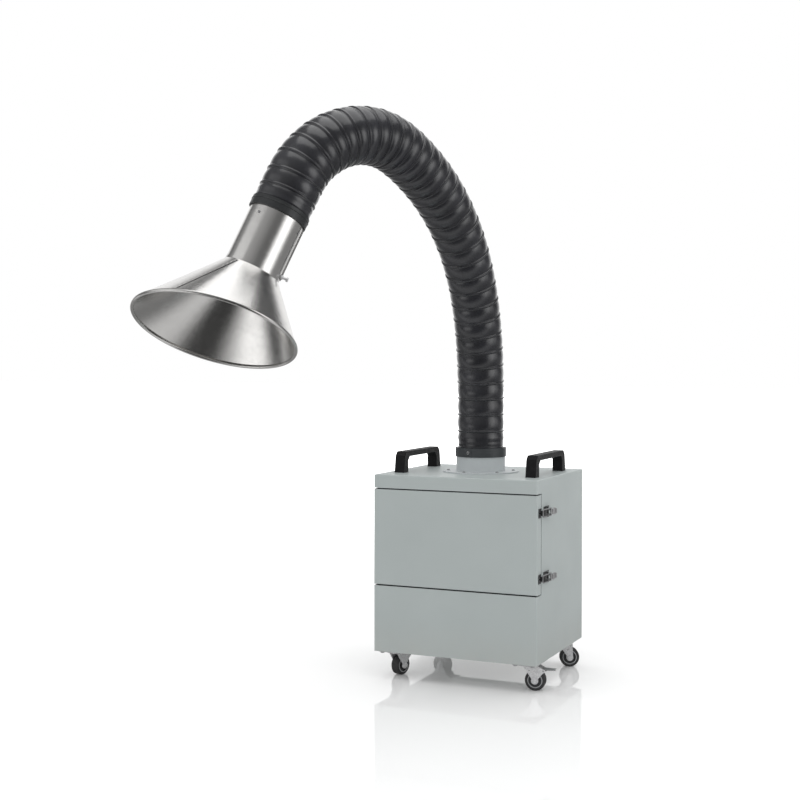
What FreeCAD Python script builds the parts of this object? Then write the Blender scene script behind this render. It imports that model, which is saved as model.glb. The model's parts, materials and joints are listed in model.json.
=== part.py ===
"""Mobile welding fume extractor: a steel filter cabinet on four swivel casters, with a
ribbed shape-holding hose that arches over the front and ends in a sheet-steel hood.

Units are millimetres. The origin lies on the floor under the middle of the cabinet.
+X is the cabinet's right, +Y its back and +Z is up, so the door faces -Y.
"""
import FreeCAD
import Part
import math
import os

V = FreeCAD.Vector
RIGHT = V(1, 0, 0)
BACK = V(0, 1, 0)
UP = V(0, 0, 1)

# Clearances: round a pin, along a pin, round a slipped-on ring; and how far a cutter passes a face
RUNNING_CLEARANCE = 0.08
AXIAL_CLEARANCE = 0.3
SLIP_CLEARANCE = 0.3
OVERCUT = 1.0

# Cabinet
CABINET_WIDTH = 434.0
CABINET_DEPTH = 378.0
CABINET_HEIGHT = 450.0
SHEET = 2.0
CABINET_EDGE_RADIUS = 3.0
CASTER_HEIGHT = 70.0

# Door in the upper part of the front, a pan whose sides wrap round the corners
DOOR_PAN_DEPTH = 31.0
DOOR_SHEET = 1.5
DOOR_TOP_DROP = 34.0
LOWER_PANEL_HEIGHT = 168.0
DOOR_SEAM = 3.0
DOOR_BACK_SEAM = 3.0
DOOR_CORNER_RADIUS = 2.5
DOOR_FLANGE = 22.0
FRAME_RIM_WIDTH = 18.0
GASKET_WIDTH = 10.0
GASKET_INSET = 3.0
GASKET_SIDE_INSET = 8.0
GASKET_CLEARANCE = 0.3

# Door hinges on the left wall
HINGE_LENGTH = 60.0
HINGE_LEAF_WIDTH = 27.0
HINGE_LEAF_THICKNESS = 1.5
HINGE_KNUCKLE_RADIUS = 3.2
HINGE_PIN_RADIUS = 1.8
HINGE_AXIS_OUT = 3.9
HINGE_INSET = 50.0

# Toggle latches on the right wall
LATCH_INSET_TOP = 44.0
LATCH_INSET_BOTTOM = 38.0
LATCH_SEAT_BACK = 29.0
LATCH_PLATE_LENGTH = 38.0
LATCH_PLATE_AHEAD = 14.0
LATCH_PLATE_HEIGHT = 26.0
LATCH_SHEET = 1.5
LATCH_PIVOT_OUT = 6.0
LATCH_PIN_RADIUS = 1.5
LATCH_PIN_WALL = 1.2
LATCH_EAR_FOOT = 6.75
LATCH_LINK_OUT = 5.5
LATCH_LINK_BACK = 8.0
LATCH_LINK_PIN_RADIUS = 1.2
LATCH_LEVER_LENGTH = 30.0
LATCH_LEVER_WIDTH = 12.0
LATCH_LEVER_FLARE = 6.0
LATCH_LEVER_ROOM = 1.0
LATCH_WIRE_RADIUS = 1.5
LATCH_WIRE_SPREAD = 8.5
LATCH_WIRE_BEND = 3.0
LATCH_EYE_WALL = 1.35
LATCH_BAR_AHEAD = 43.0
KEEPER_LENGTH = 18.0
KEEPER_FOOT_AHEAD = 10.8
KEEPER_SIDE_ROOM = 1.0
KEEPER_LIP_HEIGHT = 5.0

# Carrying handles on the top
HANDLE_LENGTH = 246.0
HANDLE_HEIGHT = 54.0
HANDLE_WIDTH = 27.0
HANDLE_FOOT = 30.0
HANDLE_GRIP_THICKNESS = 14.0
HANDLE_INSET = 40.0
HANDLE_TOP_TAPER = 7.0
HANDLE_CHAMFER = 10.0
HANDLE_FILLET = 2.0

# Duct collar that carries the arm on the top
FLANGE_RADIUS = 98.0
FLANGE_THICKNESS = 3.0
DUCT_TUBE_RADIUS = 63.0
DUCT_TUBE_HEIGHT = 49.0
DUCT_WALL = 2.0

# Arm: a ribbed hose that rises, bends over in two arcs, swings sideways and swells towards the hood
HOSE_FOOT_RADIUS = 58.0
HOSE_HEAD_RADIUS = 64.8
HOSE_SWELL_START = 350.0
HOSE_SWELL_LENGTH = 700.0
HOSE_WALL = 3.5
HOSE_RIB_HEIGHT = 2.4
HOSE_RIB_WIDTH = 8.0
HOSE_RIB_CREST = 3.0
HOSE_RIB_COUNT = 30
HOSE_STRAIGHT_FOOT = 79.0
HOSE_BEND_RADIUS_LOW = 729.0
HOSE_BEND_TURN_LOW = 62.6
HOSE_BEND_RADIUS_HIGH = 213.0
HOSE_BEND_TURN_HIGH = 90.8
HOSE_STRAIGHT_END = 78.0
ARM_SWING_START_ANGLE = -18.3
ARM_SWING_END_ANGLE = 39.8
ARM_STEPS_PER_RIB = 24

# Rings that hold the hose to its tubes
RING_WALL = 2.6
RING_LENGTH = 23.0
RING_OVER_TUBE = 12.0

# Hood
HOOD_COLLAR_RADIUS = 63.0
HOOD_COLLAR_LENGTH = 145.2
HOOD_SHEET = 1.3
HOOD_LIP_LENGTH = 6.0
HOOD_CONE_LENGTH = 151.0
HOOD_MOUTH_RADIUS = 183.5
HOOD_MOUTH_LEAN_ANGLE = 14.9
HOOD_MOUTH_LEAN_TURN = -16.8
HOOD_MOUTH_SIDEWAYS = -10.7
HOOD_MOUTH_FORWARD = 15.6
HOOD_RIM_BEAD_RADIUS = 4.0
HOOD_RIM_BEAD_DROP = 2.4

# Butterfly damper in the hood's collar
DAMPER_FROM_END = 14.0
DAMPER_SPINDLE_RADIUS = 3.0
DAMPER_SPINDLE_STICK_OUT = 17.0
DAMPER_SPINDLE_TAIL = 1.0
DAMPER_NUT_RADIUS = 5.0
DAMPER_NUT_HEIGHT = 4.0
DAMPER_DISC_CLEARANCE = 2.0
DAMPER_DISC_THICKNESS = 1.5
DAMPER_TURN = -63.5

# Casters
WHEEL_RADIUS = 25.5
WHEEL_WIDTH = 22.0
TREAD_THICKNESS = 6.0
TREAD_SHOULDER = 2.4
HUB_RIM_WALL = 3.0
HUB_WEB_WIDTH = 12.0
HUB_BOSS_WALL = 1.5
CASTER_TRAIL = 18.0
CASTER_PLATE_X = 62.0
CASTER_PLATE_Y = 88.0
CASTER_PLATE_THICKNESS = 2.5
CASTER_PLATE_CORNER = 7.0
CASTER_INSET = 7.0
CASTER_RACE_RADIUS = 23.0
CASTER_RACE_HEIGHT = 4.5
FORK_SHEET = 2.5
FORK_SIDE_CLEARANCE = 1.6
FORK_CROWN_BACK = 12.7
FORK_CROWN_AHEAD = 25.3
FORK_BOSS_WALL = 2.5
FORK_LEG_WAIST = 8.1
FORK_LEG_RISE = 4.5
KINGPIN_RADIUS = 5.0
KINGPIN_HEAD_RADIUS = 8.5
KINGPIN_HEAD_HEIGHT = 2.0
AXLE_RADIUS = 4.0
AXLE_NUT_RADIUS = 6.5
AXLE_NUT_HEIGHT = 4.0
PEDAL_WIDTH = 26.0
PEDAL_PIVOT_BACK = 21.0
PEDAL_PIVOT_RISE = 24.5
PEDAL_PIN_RADIUS = 2.0
PEDAL_LENGTH = 22.0
PEDAL_NECK = 2.5
PEDAL_TIP_WIDTH = 18.2
PEDAL_SHEET = 2.0
CASTER_TURNS = {
    "front_left": 74.0,
    "front_right": 8.0,
    "rear_left": -12.0,
    "rear_right": 24.0,
}
BRAKED_CASTERS = ("front_left", "front_right", "rear_left")

# Filter stack on the deck behind the door
DECK_THICKNESS = 2.0
DECK_BELOW_DOOR = 6.0
FILTER_SIDE_ROOM = 24.0
FILTER_FRONT_ROOM = 12.0
FILTER_BACK_ROOM = 28.0
CARBON_HEIGHT = 52.0
HEPA_HEIGHT = 108.0
PREFILTER_HEIGHT = 24.0
FILTER_WALL = 8.0
PLEAT_COUNT = 20
PLEAT_FOLD = 8.0

# Blower under the deck
FAN_INLET_RADIUS = 62.0
SCROLL_RADIUS = 92.0
SCROLL_STEP = 9.0
SCROLL_HEIGHT = 74.0
SCROLL_SHEET = 2.0
IMPELLER_RADIUS = 74.0
IMPELLER_HEIGHT = 56.0
IMPELLER_BLADES = 12
IMPELLER_SHEET = 2.0
IMPELLER_EYE_RADIUS = 49.6
IMPELLER_BLADE_START = 52.0
IMPELLER_BLADE_ANGLE = 35.0
IMPELLER_HUB_WALL = 6.0
IMPELLER_HUB_HEIGHT = 25.0
IMPELLER_FLOOR_ROOM = 4.0
MOTOR_RADIUS = 46.0
MOTOR_FOOT_REACH = 9.0
MOTOR_SHAFT_RADIUS = 5.0
MOTOR_HOLE_ROOM = 7.0
FAN_Y = -18.0

# Back wall: exhaust grille and electrical fittings
GRILLE_WIDTH = 150.0
GRILLE_HEIGHT = 96.0
GRILLE_SHEET = 2.0
GRILLE_BORDER = 12.0
GRILLE_SLOTS = 7
GRILLE_SLOT_WIDTH = 6.0
LOUVRE_REACH = 4.0
LOUVRE_EDGE = 1.2
FITTING_INSET = 67.0
DIAL_BELOW_DECK = 36.0
INLET_WIDTH = 28.0
INLET_HEIGHT = 22.0
INLET_DEPTH = 22.0
INLET_WALL = 2.5
INLET_FLOOR = 5.0
INLET_CHAMFER = 5.0
INLET_PIN_SPACING = 7.0
INLET_PIN_RISE = 3.0
INLET_PIN_DROP = 2.5
INLET_PIN_WIDTH = 2.0
INLET_PIN_HEIGHT = 4.0
INLET_PIN_LENGTH = 14.0
SWITCH_WIDTH = 22.0
SWITCH_HEIGHT = 30.0
SWITCH_DEPTH = 20.0
SWITCH_WALL = 2.0
SWITCH_DROP = 46.0
ROCKER_THROW = 3.0
ROCKER_PROUD = 0.5
ROCKER_END_ROOM = 1.8
ROCKER_BACK = 3.0
ROCKER_KEEL = 5.0
ROCKER_AXLE_RADIUS = 1.5
DIAL_RADIUS = 15.0
DIAL_DEPTH = 14.0
DIAL_ABOVE_INLET = 44.0
DIAL_FLUTES = 10
DIAL_FLUTE_RADIUS = 2.2
DIAL_FLUTE_OUT = 0.9
DIAL_SHAFT_RADIUS = 3.0
DIAL_SHAFT_TAIL = 8.0
DIAL_POT_RADIUS = 12.0
DIAL_POT_DEPTH = 12.0
DIAL_POT_FLOOR = 2.0
FITTING_FLANGE = 4.0
FITTING_LIP = 2.5

# Places worked out from the sizes above
FLOOR_Z = CASTER_HEIGHT
TOP_Z = FLOOR_Z + CABINET_HEIGHT
HALF_W = CABINET_WIDTH / 2
HALF_D = CABINET_DEPTH / 2
DOOR_HOLE_TOP = TOP_Z - DOOR_TOP_DROP
DOOR_HOLE_BOTTOM = FLOOR_Z + LOWER_PANEL_HEIGHT
DOOR_TOP = DOOR_HOLE_TOP - DOOR_SEAM
DOOR_BOTTOM = DOOR_HOLE_BOTTOM + DOOR_SEAM
FRAME_Y = -HALF_D + DOOR_PAN_DEPTH + DOOR_BACK_SEAM
DOOR_BACK_Y = -HALF_D + DOOR_PAN_DEPTH
DECK_TOP_Z = DOOR_HOLE_BOTTOM - DECK_BELOW_DOOR
FLANGE_TOP_Z = TOP_Z + FLANGE_THICKNESS
TUBE_TOP_Z = FLANGE_TOP_Z + DUCT_TUBE_HEIGHT
HOSE_FOOT_Z = TUBE_TOP_Z + SLIP_CLEARANCE
BACK_INNER_Y = HALF_D - SHEET
FITTING_X = -HALF_W + FITTING_INSET
FITTING_Z = DECK_TOP_Z - DECK_THICKNESS - DIAL_BELOW_DECK - DIAL_ABOVE_INLET


def box(low, high):
    """Solid box between two corners."""
    return Part.makeBox(high[0] - low[0], high[1] - low[1], high[2] - low[2], V(*low))


def rod(radius, start, direction, length):
    """Solid cylinder from a start point along a direction."""
    return Part.makeCylinder(radius, length, start, direction)


def pipe(outer, inner, start, direction, length):
    """Hollow cylinder."""
    return rod(outer, start, direction, length).cut(rod(inner, start, direction, length))


def plate_from(points, thickness):
    """Flat plate: a closed outline pushed along a vector."""
    wire = Part.makePolygon(points + [points[0]])
    return Part.Face(wire).extrude(thickness)


def circle_wire(centre, normal, start, radius):
    """Circle that starts in a given direction, so that a loft through several has no twist."""
    circle = Part.Circle(centre, normal, radius)
    circle.XAxis = start
    return Part.Wire([circle.toShape()])


def fuse(solids):
    """One solid from several that touch or overlap."""
    whole = solids[0].multiFuse(solids[1:]) if len(solids) > 1 else solids[0]
    return whole.removeSplitter()


def group(solids):
    """Several separate solids kept in one node."""
    return Part.makeCompound(solids)


def turned(shape, degrees, centre=V(0, 0, 0), axis=UP):
    """Copy of a shape, turned about an axis."""
    copy = shape.copy()
    copy.rotate(centre, axis, degrees)
    return copy


def moved(shape, offset):
    """Copy of a shape, moved."""
    copy = shape.copy()
    copy.translate(offset)
    return copy


def outer_edges(shape, test):
    """Edges of a shape whose middle passes a test."""
    return [edge for edge in shape.Edges if test(edge.CenterOfMass)]


# Cabinet and door

def cabinet_shell():
    """Welded sheet-steel box with the door's recess, its rim frame and the back cut-outs."""
    outer = box((-HALF_W, -HALF_D, FLOOR_Z), (HALF_W, HALF_D, TOP_Z))
    corners = outer_edges(outer, lambda c: abs(abs(c.x) - HALF_W) < 1 and abs(abs(c.y) - HALF_D) < 1)
    rims = outer_edges(outer, lambda c: abs(c.z - TOP_Z) < 1)
    outer = outer.makeFillet(CABINET_EDGE_RADIUS, corners + rims)
    inner = box((-HALF_W + SHEET, -HALF_D + SHEET, FLOOR_Z + SHEET),
                (HALF_W - SHEET, HALF_D - SHEET, TOP_Z - SHEET))
    shell = outer.cut(inner)
    recess = box((-HALF_W - OVERCUT, -HALF_D - OVERCUT, DOOR_HOLE_BOTTOM),
                 (HALF_W + OVERCUT, FRAME_Y, DOOR_HOLE_TOP))
    shell = shell.cut(recess)
    rim_low = (-HALF_W + SHEET, FRAME_Y, DOOR_HOLE_BOTTOM - SHEET)
    rim_high = (HALF_W - SHEET, FRAME_Y + SHEET, DOOR_HOLE_TOP + SHEET)
    rim = box(rim_low, rim_high)
    hole_low = (rim_low[0] + FRAME_RIM_WIDTH, FRAME_Y - OVERCUT, DOOR_HOLE_BOTTOM + FRAME_RIM_WIDTH)
    hole_high = (rim_high[0] - FRAME_RIM_WIDTH, FRAME_Y + SHEET + OVERCUT, DOOR_HOLE_TOP - FRAME_RIM_WIDTH)
    rim = rim.cut(box(hole_low, hole_high))
    ledge_x = HALF_W - SHEET
    ledge_y = -HALF_D + SHEET
    lower_ledge = box((-ledge_x, ledge_y, DOOR_HOLE_BOTTOM - SHEET), (ledge_x, FRAME_Y, DOOR_HOLE_BOTTOM))
    upper_ledge = box((-ledge_x, ledge_y, DOOR_HOLE_TOP), (ledge_x, FRAME_Y, DOOR_HOLE_TOP + SHEET))
    shell = fuse([shell, rim, lower_ledge, upper_ledge])
    duct_hole = rod(DUCT_TUBE_RADIUS - DUCT_WALL, V(0, 0, TOP_Z - SHEET - OVERCUT), UP, SHEET + 2 * OVERCUT)
    shell = shell.cut(duct_hole)
    low, high = grille_opening()
    start_y, end_y = BACK_INNER_Y - OVERCUT, HALF_D + OVERCUT
    shell = shell.cut(box((low[0], start_y, low[1]), (high[0], end_y, high[1])))
    cutouts = ((INLET_WIDTH, INLET_HEIGHT, FITTING_Z), (SWITCH_WIDTH, SWITCH_HEIGHT, switch_z()))
    for width, height, z in cutouts:
        shell = shell.cut(box((FITTING_X - width / 2, start_y, z - height / 2),
                              (FITTING_X + width / 2, end_y, z + height / 2)))
    dial_hole = DIAL_SHAFT_RADIUS + RUNNING_CLEARANCE
    return shell.cut(rod(dial_hole, V(FITTING_X, start_y, dial_z()), BACK, end_y - start_y))


def door_panel():
    """Pressed door pan: a front sheet with four sides that are folded in again at the back."""
    low = (-HALF_W, -HALF_D, DOOR_BOTTOM)
    high = (HALF_W, DOOR_BACK_Y, DOOR_TOP)
    pan = box(low, high)
    pan = pan.makeFillet(DOOR_CORNER_RADIUS, outer_edges(pan, lambda c: abs(c.y + HALF_D) < 1))
    t, flange = DOOR_SHEET, DOOR_FLANGE
    pan = pan.cut(box((low[0] + t, low[1] + t, low[2] + t), (high[0] - t, high[1] - t, high[2] - t)))
    return pan.cut(box((low[0] + flange, high[1] - 2 * t, low[2] + flange),
                       (high[0] - flange, high[1] + t, high[2] - flange)))


def door_gasket():
    """Foam strip on the door's back flange that meets the rim of the opening."""
    edge_x = HALF_W - SHEET - FRAME_RIM_WIDTH + GASKET_WIDTH + GASKET_SIDE_INSET
    low_z = DOOR_HOLE_BOTTOM + FRAME_RIM_WIDTH - GASKET_WIDTH - GASKET_INSET
    high_z = DOOR_HOLE_TOP - FRAME_RIM_WIDTH + GASKET_WIDTH + GASKET_INSET
    front_y = DOOR_BACK_Y
    back_y = FRAME_Y - GASKET_CLEARANCE
    ring = box((-edge_x, front_y, low_z), (edge_x, back_y, high_z))
    w = GASKET_WIDTH
    return ring.cut(box((-edge_x + w, front_y - OVERCUT, low_z + w),
                        (edge_x - w, back_y + OVERCUT, high_z - w)))


def hinge_axis():
    """Point of the door's hinge line on the left wall."""
    return V(-HALF_W - HINGE_AXIS_OUT, DOOR_BACK_Y + DOOR_BACK_SEAM / 2, 0)


def hinge_heights():
    """Lower ends of the two hinges."""
    return (DOOR_BOTTOM + HINGE_INSET - HINGE_LENGTH / 2, DOOR_TOP - HINGE_INSET - HINGE_LENGTH / 2)


def hinge_leaf(side, z, knuckles):
    """One leaf with its knuckles; side is +1 towards the back and -1 towards the door."""
    axis = hinge_axis()
    clear = HINGE_KNUCKLE_RADIUS + AXIAL_CLEARANCE * 2
    near, far = axis.y + side * clear, axis.y + side * HINGE_LEAF_WIDTH
    x0, x1 = -HALF_W - HINGE_LEAF_THICKNESS, -HALF_W
    pieces = [box((x0, min(near, far), z), (x1, max(near, far), z + HINGE_LENGTH))]
    for low, high in knuckles:
        pieces.append(rod(HINGE_KNUCKLE_RADIUS, V(axis.x, axis.y, z + low), UP, high - low))
        pieces.append(box((x0, min(axis.y, near), z + low), (x1, max(axis.y, near), z + high)))
    return fuse(pieces)


def hinge_cabinet_leaves():
    """Leaves on the cabinet, each with its two outer knuckles and the hinge pin."""
    third = HINGE_LENGTH / 3
    leaves = []
    for z in hinge_heights():
        leaf = hinge_leaf(1, z, ((0, third), (2 * third, HINGE_LENGTH)))
        axis = hinge_axis()
        leaves.append(fuse([leaf, rod(HINGE_PIN_RADIUS, V(axis.x, axis.y, z), UP, HINGE_LENGTH)]))
    return group(leaves)


def hinge_door_leaves():
    """Leaves on the door, each with the bored middle knuckle."""
    third = HINGE_LENGTH / 3
    leaves = []
    for z in hinge_heights():
        leaf = hinge_leaf(-1, z, ((third + AXIAL_CLEARANCE, 2 * third - AXIAL_CLEARANCE),))
        axis = hinge_axis()
        bore = rod(HINGE_PIN_RADIUS + RUNNING_CLEARANCE, V(axis.x, axis.y, z), UP, HINGE_LENGTH)
        leaves.append(leaf.cut(bore))
    return group(leaves)


# Toggle latches

def latch_heights():
    """Middle heights of the two latches."""
    return {"upper": DOOR_TOP - LATCH_INSET_TOP, "lower": DOOR_BOTTOM + LATCH_INSET_BOTTOM}


def latch_pivot(z):
    """Point of the lever's pivot."""
    return V(HALF_W + LATCH_PIVOT_OUT, FRAME_Y + LATCH_SEAT_BACK, z)


def latch_link(z):
    """Point where the wire bail hangs on the lever."""
    return latch_pivot(z) + V(LATCH_LINK_OUT, LATCH_LINK_BACK, 0)


def ear_gap():
    """Half the room between the base's two ears."""
    return LATCH_WIRE_SPREAD + LATCH_WIRE_RADIUS + AXIAL_CLEARANCE * 2


def latch_base(z):
    """Base plate with two ears and the pivot pin."""
    pivot = latch_pivot(z)
    half = LATCH_PLATE_HEIGHT / 2
    y0 = pivot.y - LATCH_PLATE_AHEAD
    pieces = [box((HALF_W, y0, z - half), (HALF_W + LATCH_SHEET, y0 + LATCH_PLATE_LENGTH, z + half))]
    reach = LATCH_PIN_RADIUS + LATCH_PIN_WALL
    for side in (-1, 1):
        ear_z = z + side * ear_gap()
        outline = [V(HALF_W, pivot.y - LATCH_EAR_FOOT, ear_z), V(pivot.x + reach, pivot.y - reach, ear_z),
                   V(pivot.x + reach, pivot.y + reach, ear_z), V(HALF_W, pivot.y + LATCH_EAR_FOOT, ear_z)]
        pieces.append(plate_from(outline, V(0, 0, side * LATCH_SHEET)))
    pin_half = ear_gap() + LATCH_SHEET
    pieces.append(rod(LATCH_PIN_RADIUS, V(pivot.x, pivot.y, z - pin_half), UP, 2 * pin_half))
    return fuse(pieces)


def latch_lever(z):
    """Channel-shaped lever with the pin that carries the wire bail."""
    pivot, link = latch_pivot(z), latch_link(z)
    half = LATCH_LEVER_WIDTH / 2
    skin_x = link.x + LATCH_WIRE_RADIUS + LATCH_LEVER_ROOM
    end_y = pivot.y + LATCH_LEVER_LENGTH
    nose = LATCH_PIN_RADIUS + LATCH_PIN_WALL
    flare_y = end_y + LATCH_LEVER_FLARE
    pieces = [box((skin_x, pivot.y - nose, z - half), (skin_x + LATCH_SHEET, end_y, z + half))]
    flare = [V(skin_x, end_y, z - half), V(skin_x + LATCH_SHEET, end_y, z - half),
             V(skin_x + 3 * LATCH_SHEET, flare_y, z - half), V(skin_x + 2 * LATCH_SHEET, flare_y, z - half)]
    pieces.append(plate_from(flare, V(0, 0, LATCH_LEVER_WIDTH)))
    for side in (-1, 1):
        start_z = z + side * half
        cheek = [V(pivot.x - nose, pivot.y - nose, start_z), V(skin_x, pivot.y - nose, start_z),
                 V(skin_x, end_y - LATCH_LEVER_FLARE, start_z),
                 V(link.x - LATCH_LINK_PIN_RADIUS * 1.5, link.y + 2 * nose, start_z),
                 V(pivot.x - nose, pivot.y + nose, start_z)]
        pieces.append(plate_from(cheek, V(0, 0, -side * LATCH_SHEET)))
    pin_half = LATCH_WIRE_SPREAD + LATCH_WIRE_RADIUS
    pieces.append(rod(LATCH_LINK_PIN_RADIUS, V(link.x, link.y, z - pin_half), UP, 2 * pin_half))
    lever = fuse(pieces)
    bore = rod(LATCH_PIN_RADIUS + RUNNING_CLEARANCE, V(pivot.x, pivot.y, z - 2 * half), UP, 4 * half)
    return lever.cut(bore)


def latch_bail(z):
    """Bent wire bail: two legs with eyes on the lever's pin and a bar that goes over the keeper."""
    link = latch_link(z)
    bar_x = HALF_W + LATCH_SHEET + KEEPER_LIP_HEIGHT + LATCH_WIRE_RADIUS + AXIAL_CLEARANCE
    bar = V(bar_x, latch_pivot(z).y - LATCH_BAR_AHEAD, z)
    along = bar - V(link.x, link.y, z)
    along.normalize()
    bend = LATCH_WIRE_BEND
    slant = math.sqrt(0.5) * bend
    edges = []
    for side in (1, -1):
        out = UP * side
        start = V(link.x, link.y, z) + out * LATCH_WIRE_SPREAD
        centre = bar - along * bend + out * (LATCH_WIRE_SPREAD - bend)
        leg = Part.makeLine(start + along * LATCH_WIRE_RADIUS, centre + out * bend)
        bar_end = centre + along * bend
        corner = Part.Arc(centre + out * bend, centre + out * slant + along * slant, bar_end).toShape()
        edges.append((leg, corner, bar_end, start))
    bar_edge = Part.makeLine(edges[0][2], edges[1][2])
    path = Part.Wire(Part.sortEdges([edges[0][0], edges[0][1], bar_edge, edges[1][1], edges[1][0]])[0])
    first = edges[0][3] + along * LATCH_WIRE_RADIUS
    wire = path.makePipeShell([circle_wire(first, along, UP, LATCH_WIRE_RADIUS)], True, False)
    pieces = [wire]
    for _, _, _, start in edges:
        eye_low = start - UP * LATCH_WIRE_RADIUS
        pieces.append(rod(LATCH_LINK_PIN_RADIUS + LATCH_EYE_WALL, eye_low, UP, 2 * LATCH_WIRE_RADIUS))
    bail = fuse(pieces)
    pin = LATCH_LINK_PIN_RADIUS + RUNNING_CLEARANCE
    return bail.cut(rod(pin, V(link.x, link.y, z - 2 * LATCH_WIRE_SPREAD), UP, 4 * LATCH_WIRE_SPREAD))


def latch_keeper(z):
    """Keeper plate with its lip, on the door's right return."""
    bar_y = latch_pivot(z).y - LATCH_BAR_AHEAD
    half = LATCH_WIRE_SPREAD - LATCH_WIRE_RADIUS - KEEPER_SIDE_ROOM
    lip_y = bar_y + LATCH_WIRE_RADIUS + AXIAL_CLEARANCE
    y0 = lip_y + LATCH_SHEET - KEEPER_FOOT_AHEAD
    plate = box((HALF_W, y0, z - half), (HALF_W + LATCH_SHEET, y0 + KEEPER_LENGTH, z + half))
    lip_x = HALF_W + LATCH_SHEET + KEEPER_LIP_HEIGHT
    lip = box((HALF_W, lip_y, z - half), (lip_x, lip_y + LATCH_SHEET, z + half))
    return fuse([plate, lip])


# Handles and duct collar

def handle(side):
    """Moulded bridge handle that runs from front to back."""
    half, height = HANDLE_LENGTH / 2, HANDLE_HEIGHT
    x = side * (HALF_W - HANDLE_INSET) - HANDLE_WIDTH / 2
    top_half = half - HANDLE_TOP_TAPER
    inner = half - HANDLE_FOOT
    under = height - HANDLE_GRIP_THICKNESS
    outline = [(-half, 0), (-top_half, height - HANDLE_CHAMFER), (-top_half + HANDLE_CHAMFER, height),
               (top_half - HANDLE_CHAMFER, height), (top_half, height - HANDLE_CHAMFER), (half, 0),
               (inner, 0), (inner, under - HANDLE_CHAMFER), (inner - HANDLE_CHAMFER, under),
               (-inner + HANDLE_CHAMFER, under), (-inner, under - HANDLE_CHAMFER), (-inner, 0)]
    bridge = plate_from([V(x, y, TOP_Z + z) for y, z in outline], V(HANDLE_WIDTH, 0, 0))
    middle = x + HANDLE_WIDTH / 2
    sides = outer_edges(bridge, lambda c: abs(c.x - middle) > HANDLE_WIDTH * 0.49 and c.z > TOP_Z + 1)
    return bridge.makeFillet(HANDLE_FILLET, sides)


def duct_collar():
    """Flange and tube that carry the arm."""
    flange = rod(FLANGE_RADIUS, V(0, 0, TOP_Z), UP, FLANGE_THICKNESS)
    tube = rod(DUCT_TUBE_RADIUS, V(0, 0, TOP_Z), UP, TUBE_TOP_Z - TOP_Z)
    bore_length = TUBE_TOP_Z - TOP_Z + 2 * OVERCUT
    bore = rod(DUCT_TUBE_RADIUS - DUCT_WALL, V(0, 0, TOP_Z - OVERCUT), UP, bore_length)
    return fuse([flange, tube]).cut(bore)


# Arm

def arm_stations():
    """Points, tangents and sideways directions along the hose, from its foot to the hood."""
    low_turn, high_turn = math.radians(HOSE_BEND_TURN_LOW), math.radians(HOSE_BEND_TURN_HIGH)
    low_length, high_length = HOSE_BEND_RADIUS_LOW * low_turn, HOSE_BEND_RADIUS_HIGH * high_turn
    bend_length = low_length + high_length
    swing_change = ARM_SWING_END_ANGLE - ARM_SWING_START_ANGLE
    total = HOSE_STRAIGHT_FOOT + bend_length + HOSE_STRAIGHT_END
    steps = HOSE_RIB_COUNT * ARM_STEPS_PER_RIB
    step = total / steps

    def directions(distance):
        along = min(max(distance - HOSE_STRAIGHT_FOOT, 0), bend_length)
        lean = along / HOSE_BEND_RADIUS_LOW
        if along > low_length:
            lean = low_turn + (along - low_length) / HOSE_BEND_RADIUS_HIGH
        swing = math.radians(ARM_SWING_START_ANGLE + swing_change * along / bend_length)
        tangent = V(-math.sin(swing) * math.sin(lean), -math.cos(swing) * math.sin(lean), math.cos(lean))
        return tangent, V(math.cos(swing), -math.sin(swing), 0)

    point = V(0, 0, HOSE_FOOT_Z)
    stations = [(0.0, point) + directions(0.0)]
    for i in range(1, steps + 1):
        point = point + directions((i - 0.5) * step)[0] * step
        stations.append((i * step, point) + directions(i * step))
    return stations


STATIONS = arm_stations()
ARM_LENGTH = STATIONS[-1][0]
ARM_END = STATIONS[-1][1]
ARM_AXIS = STATIONS[-1][2]
ARM_SIDE = STATIONS[-1][3]
ARM_FACE = ARM_AXIS.cross(ARM_SIDE)


def arm_at(distance):
    """Point, tangent and sideways direction at a distance along the hose."""
    step = STATIONS[1][0]
    index = min(max(int(distance / step), 0), len(STATIONS) - 2)
    share = distance / step - index
    mixed = []
    for low, high in zip(STATIONS[index][1:], STATIONS[index + 1][1:]):
        mixed.append(low * (1 - share) + high * share)
    point, tangent, side = mixed
    tangent.normalize()
    side = side - tangent * tangent.dot(side)
    side.normalize()
    return point, tangent, side


def skin_radius(distance):
    """Radius of the hose's skin between its ribs, which grows smoothly from the foot to the hood."""
    share = min(max((distance - HOSE_SWELL_START) / HOSE_SWELL_LENGTH, 0), 1)
    return HOSE_FOOT_RADIUS + (HOSE_HEAD_RADIUS - HOSE_FOOT_RADIUS) * share * share * (3 - 2 * share)


def ring_wire(distance, height):
    """Circle square to the hose at a height over its skin, which starts on the arm's right side."""
    point, tangent, side = arm_at(distance)
    return circle_wire(point, tangent, side, skin_radius(distance) + height)


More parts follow.
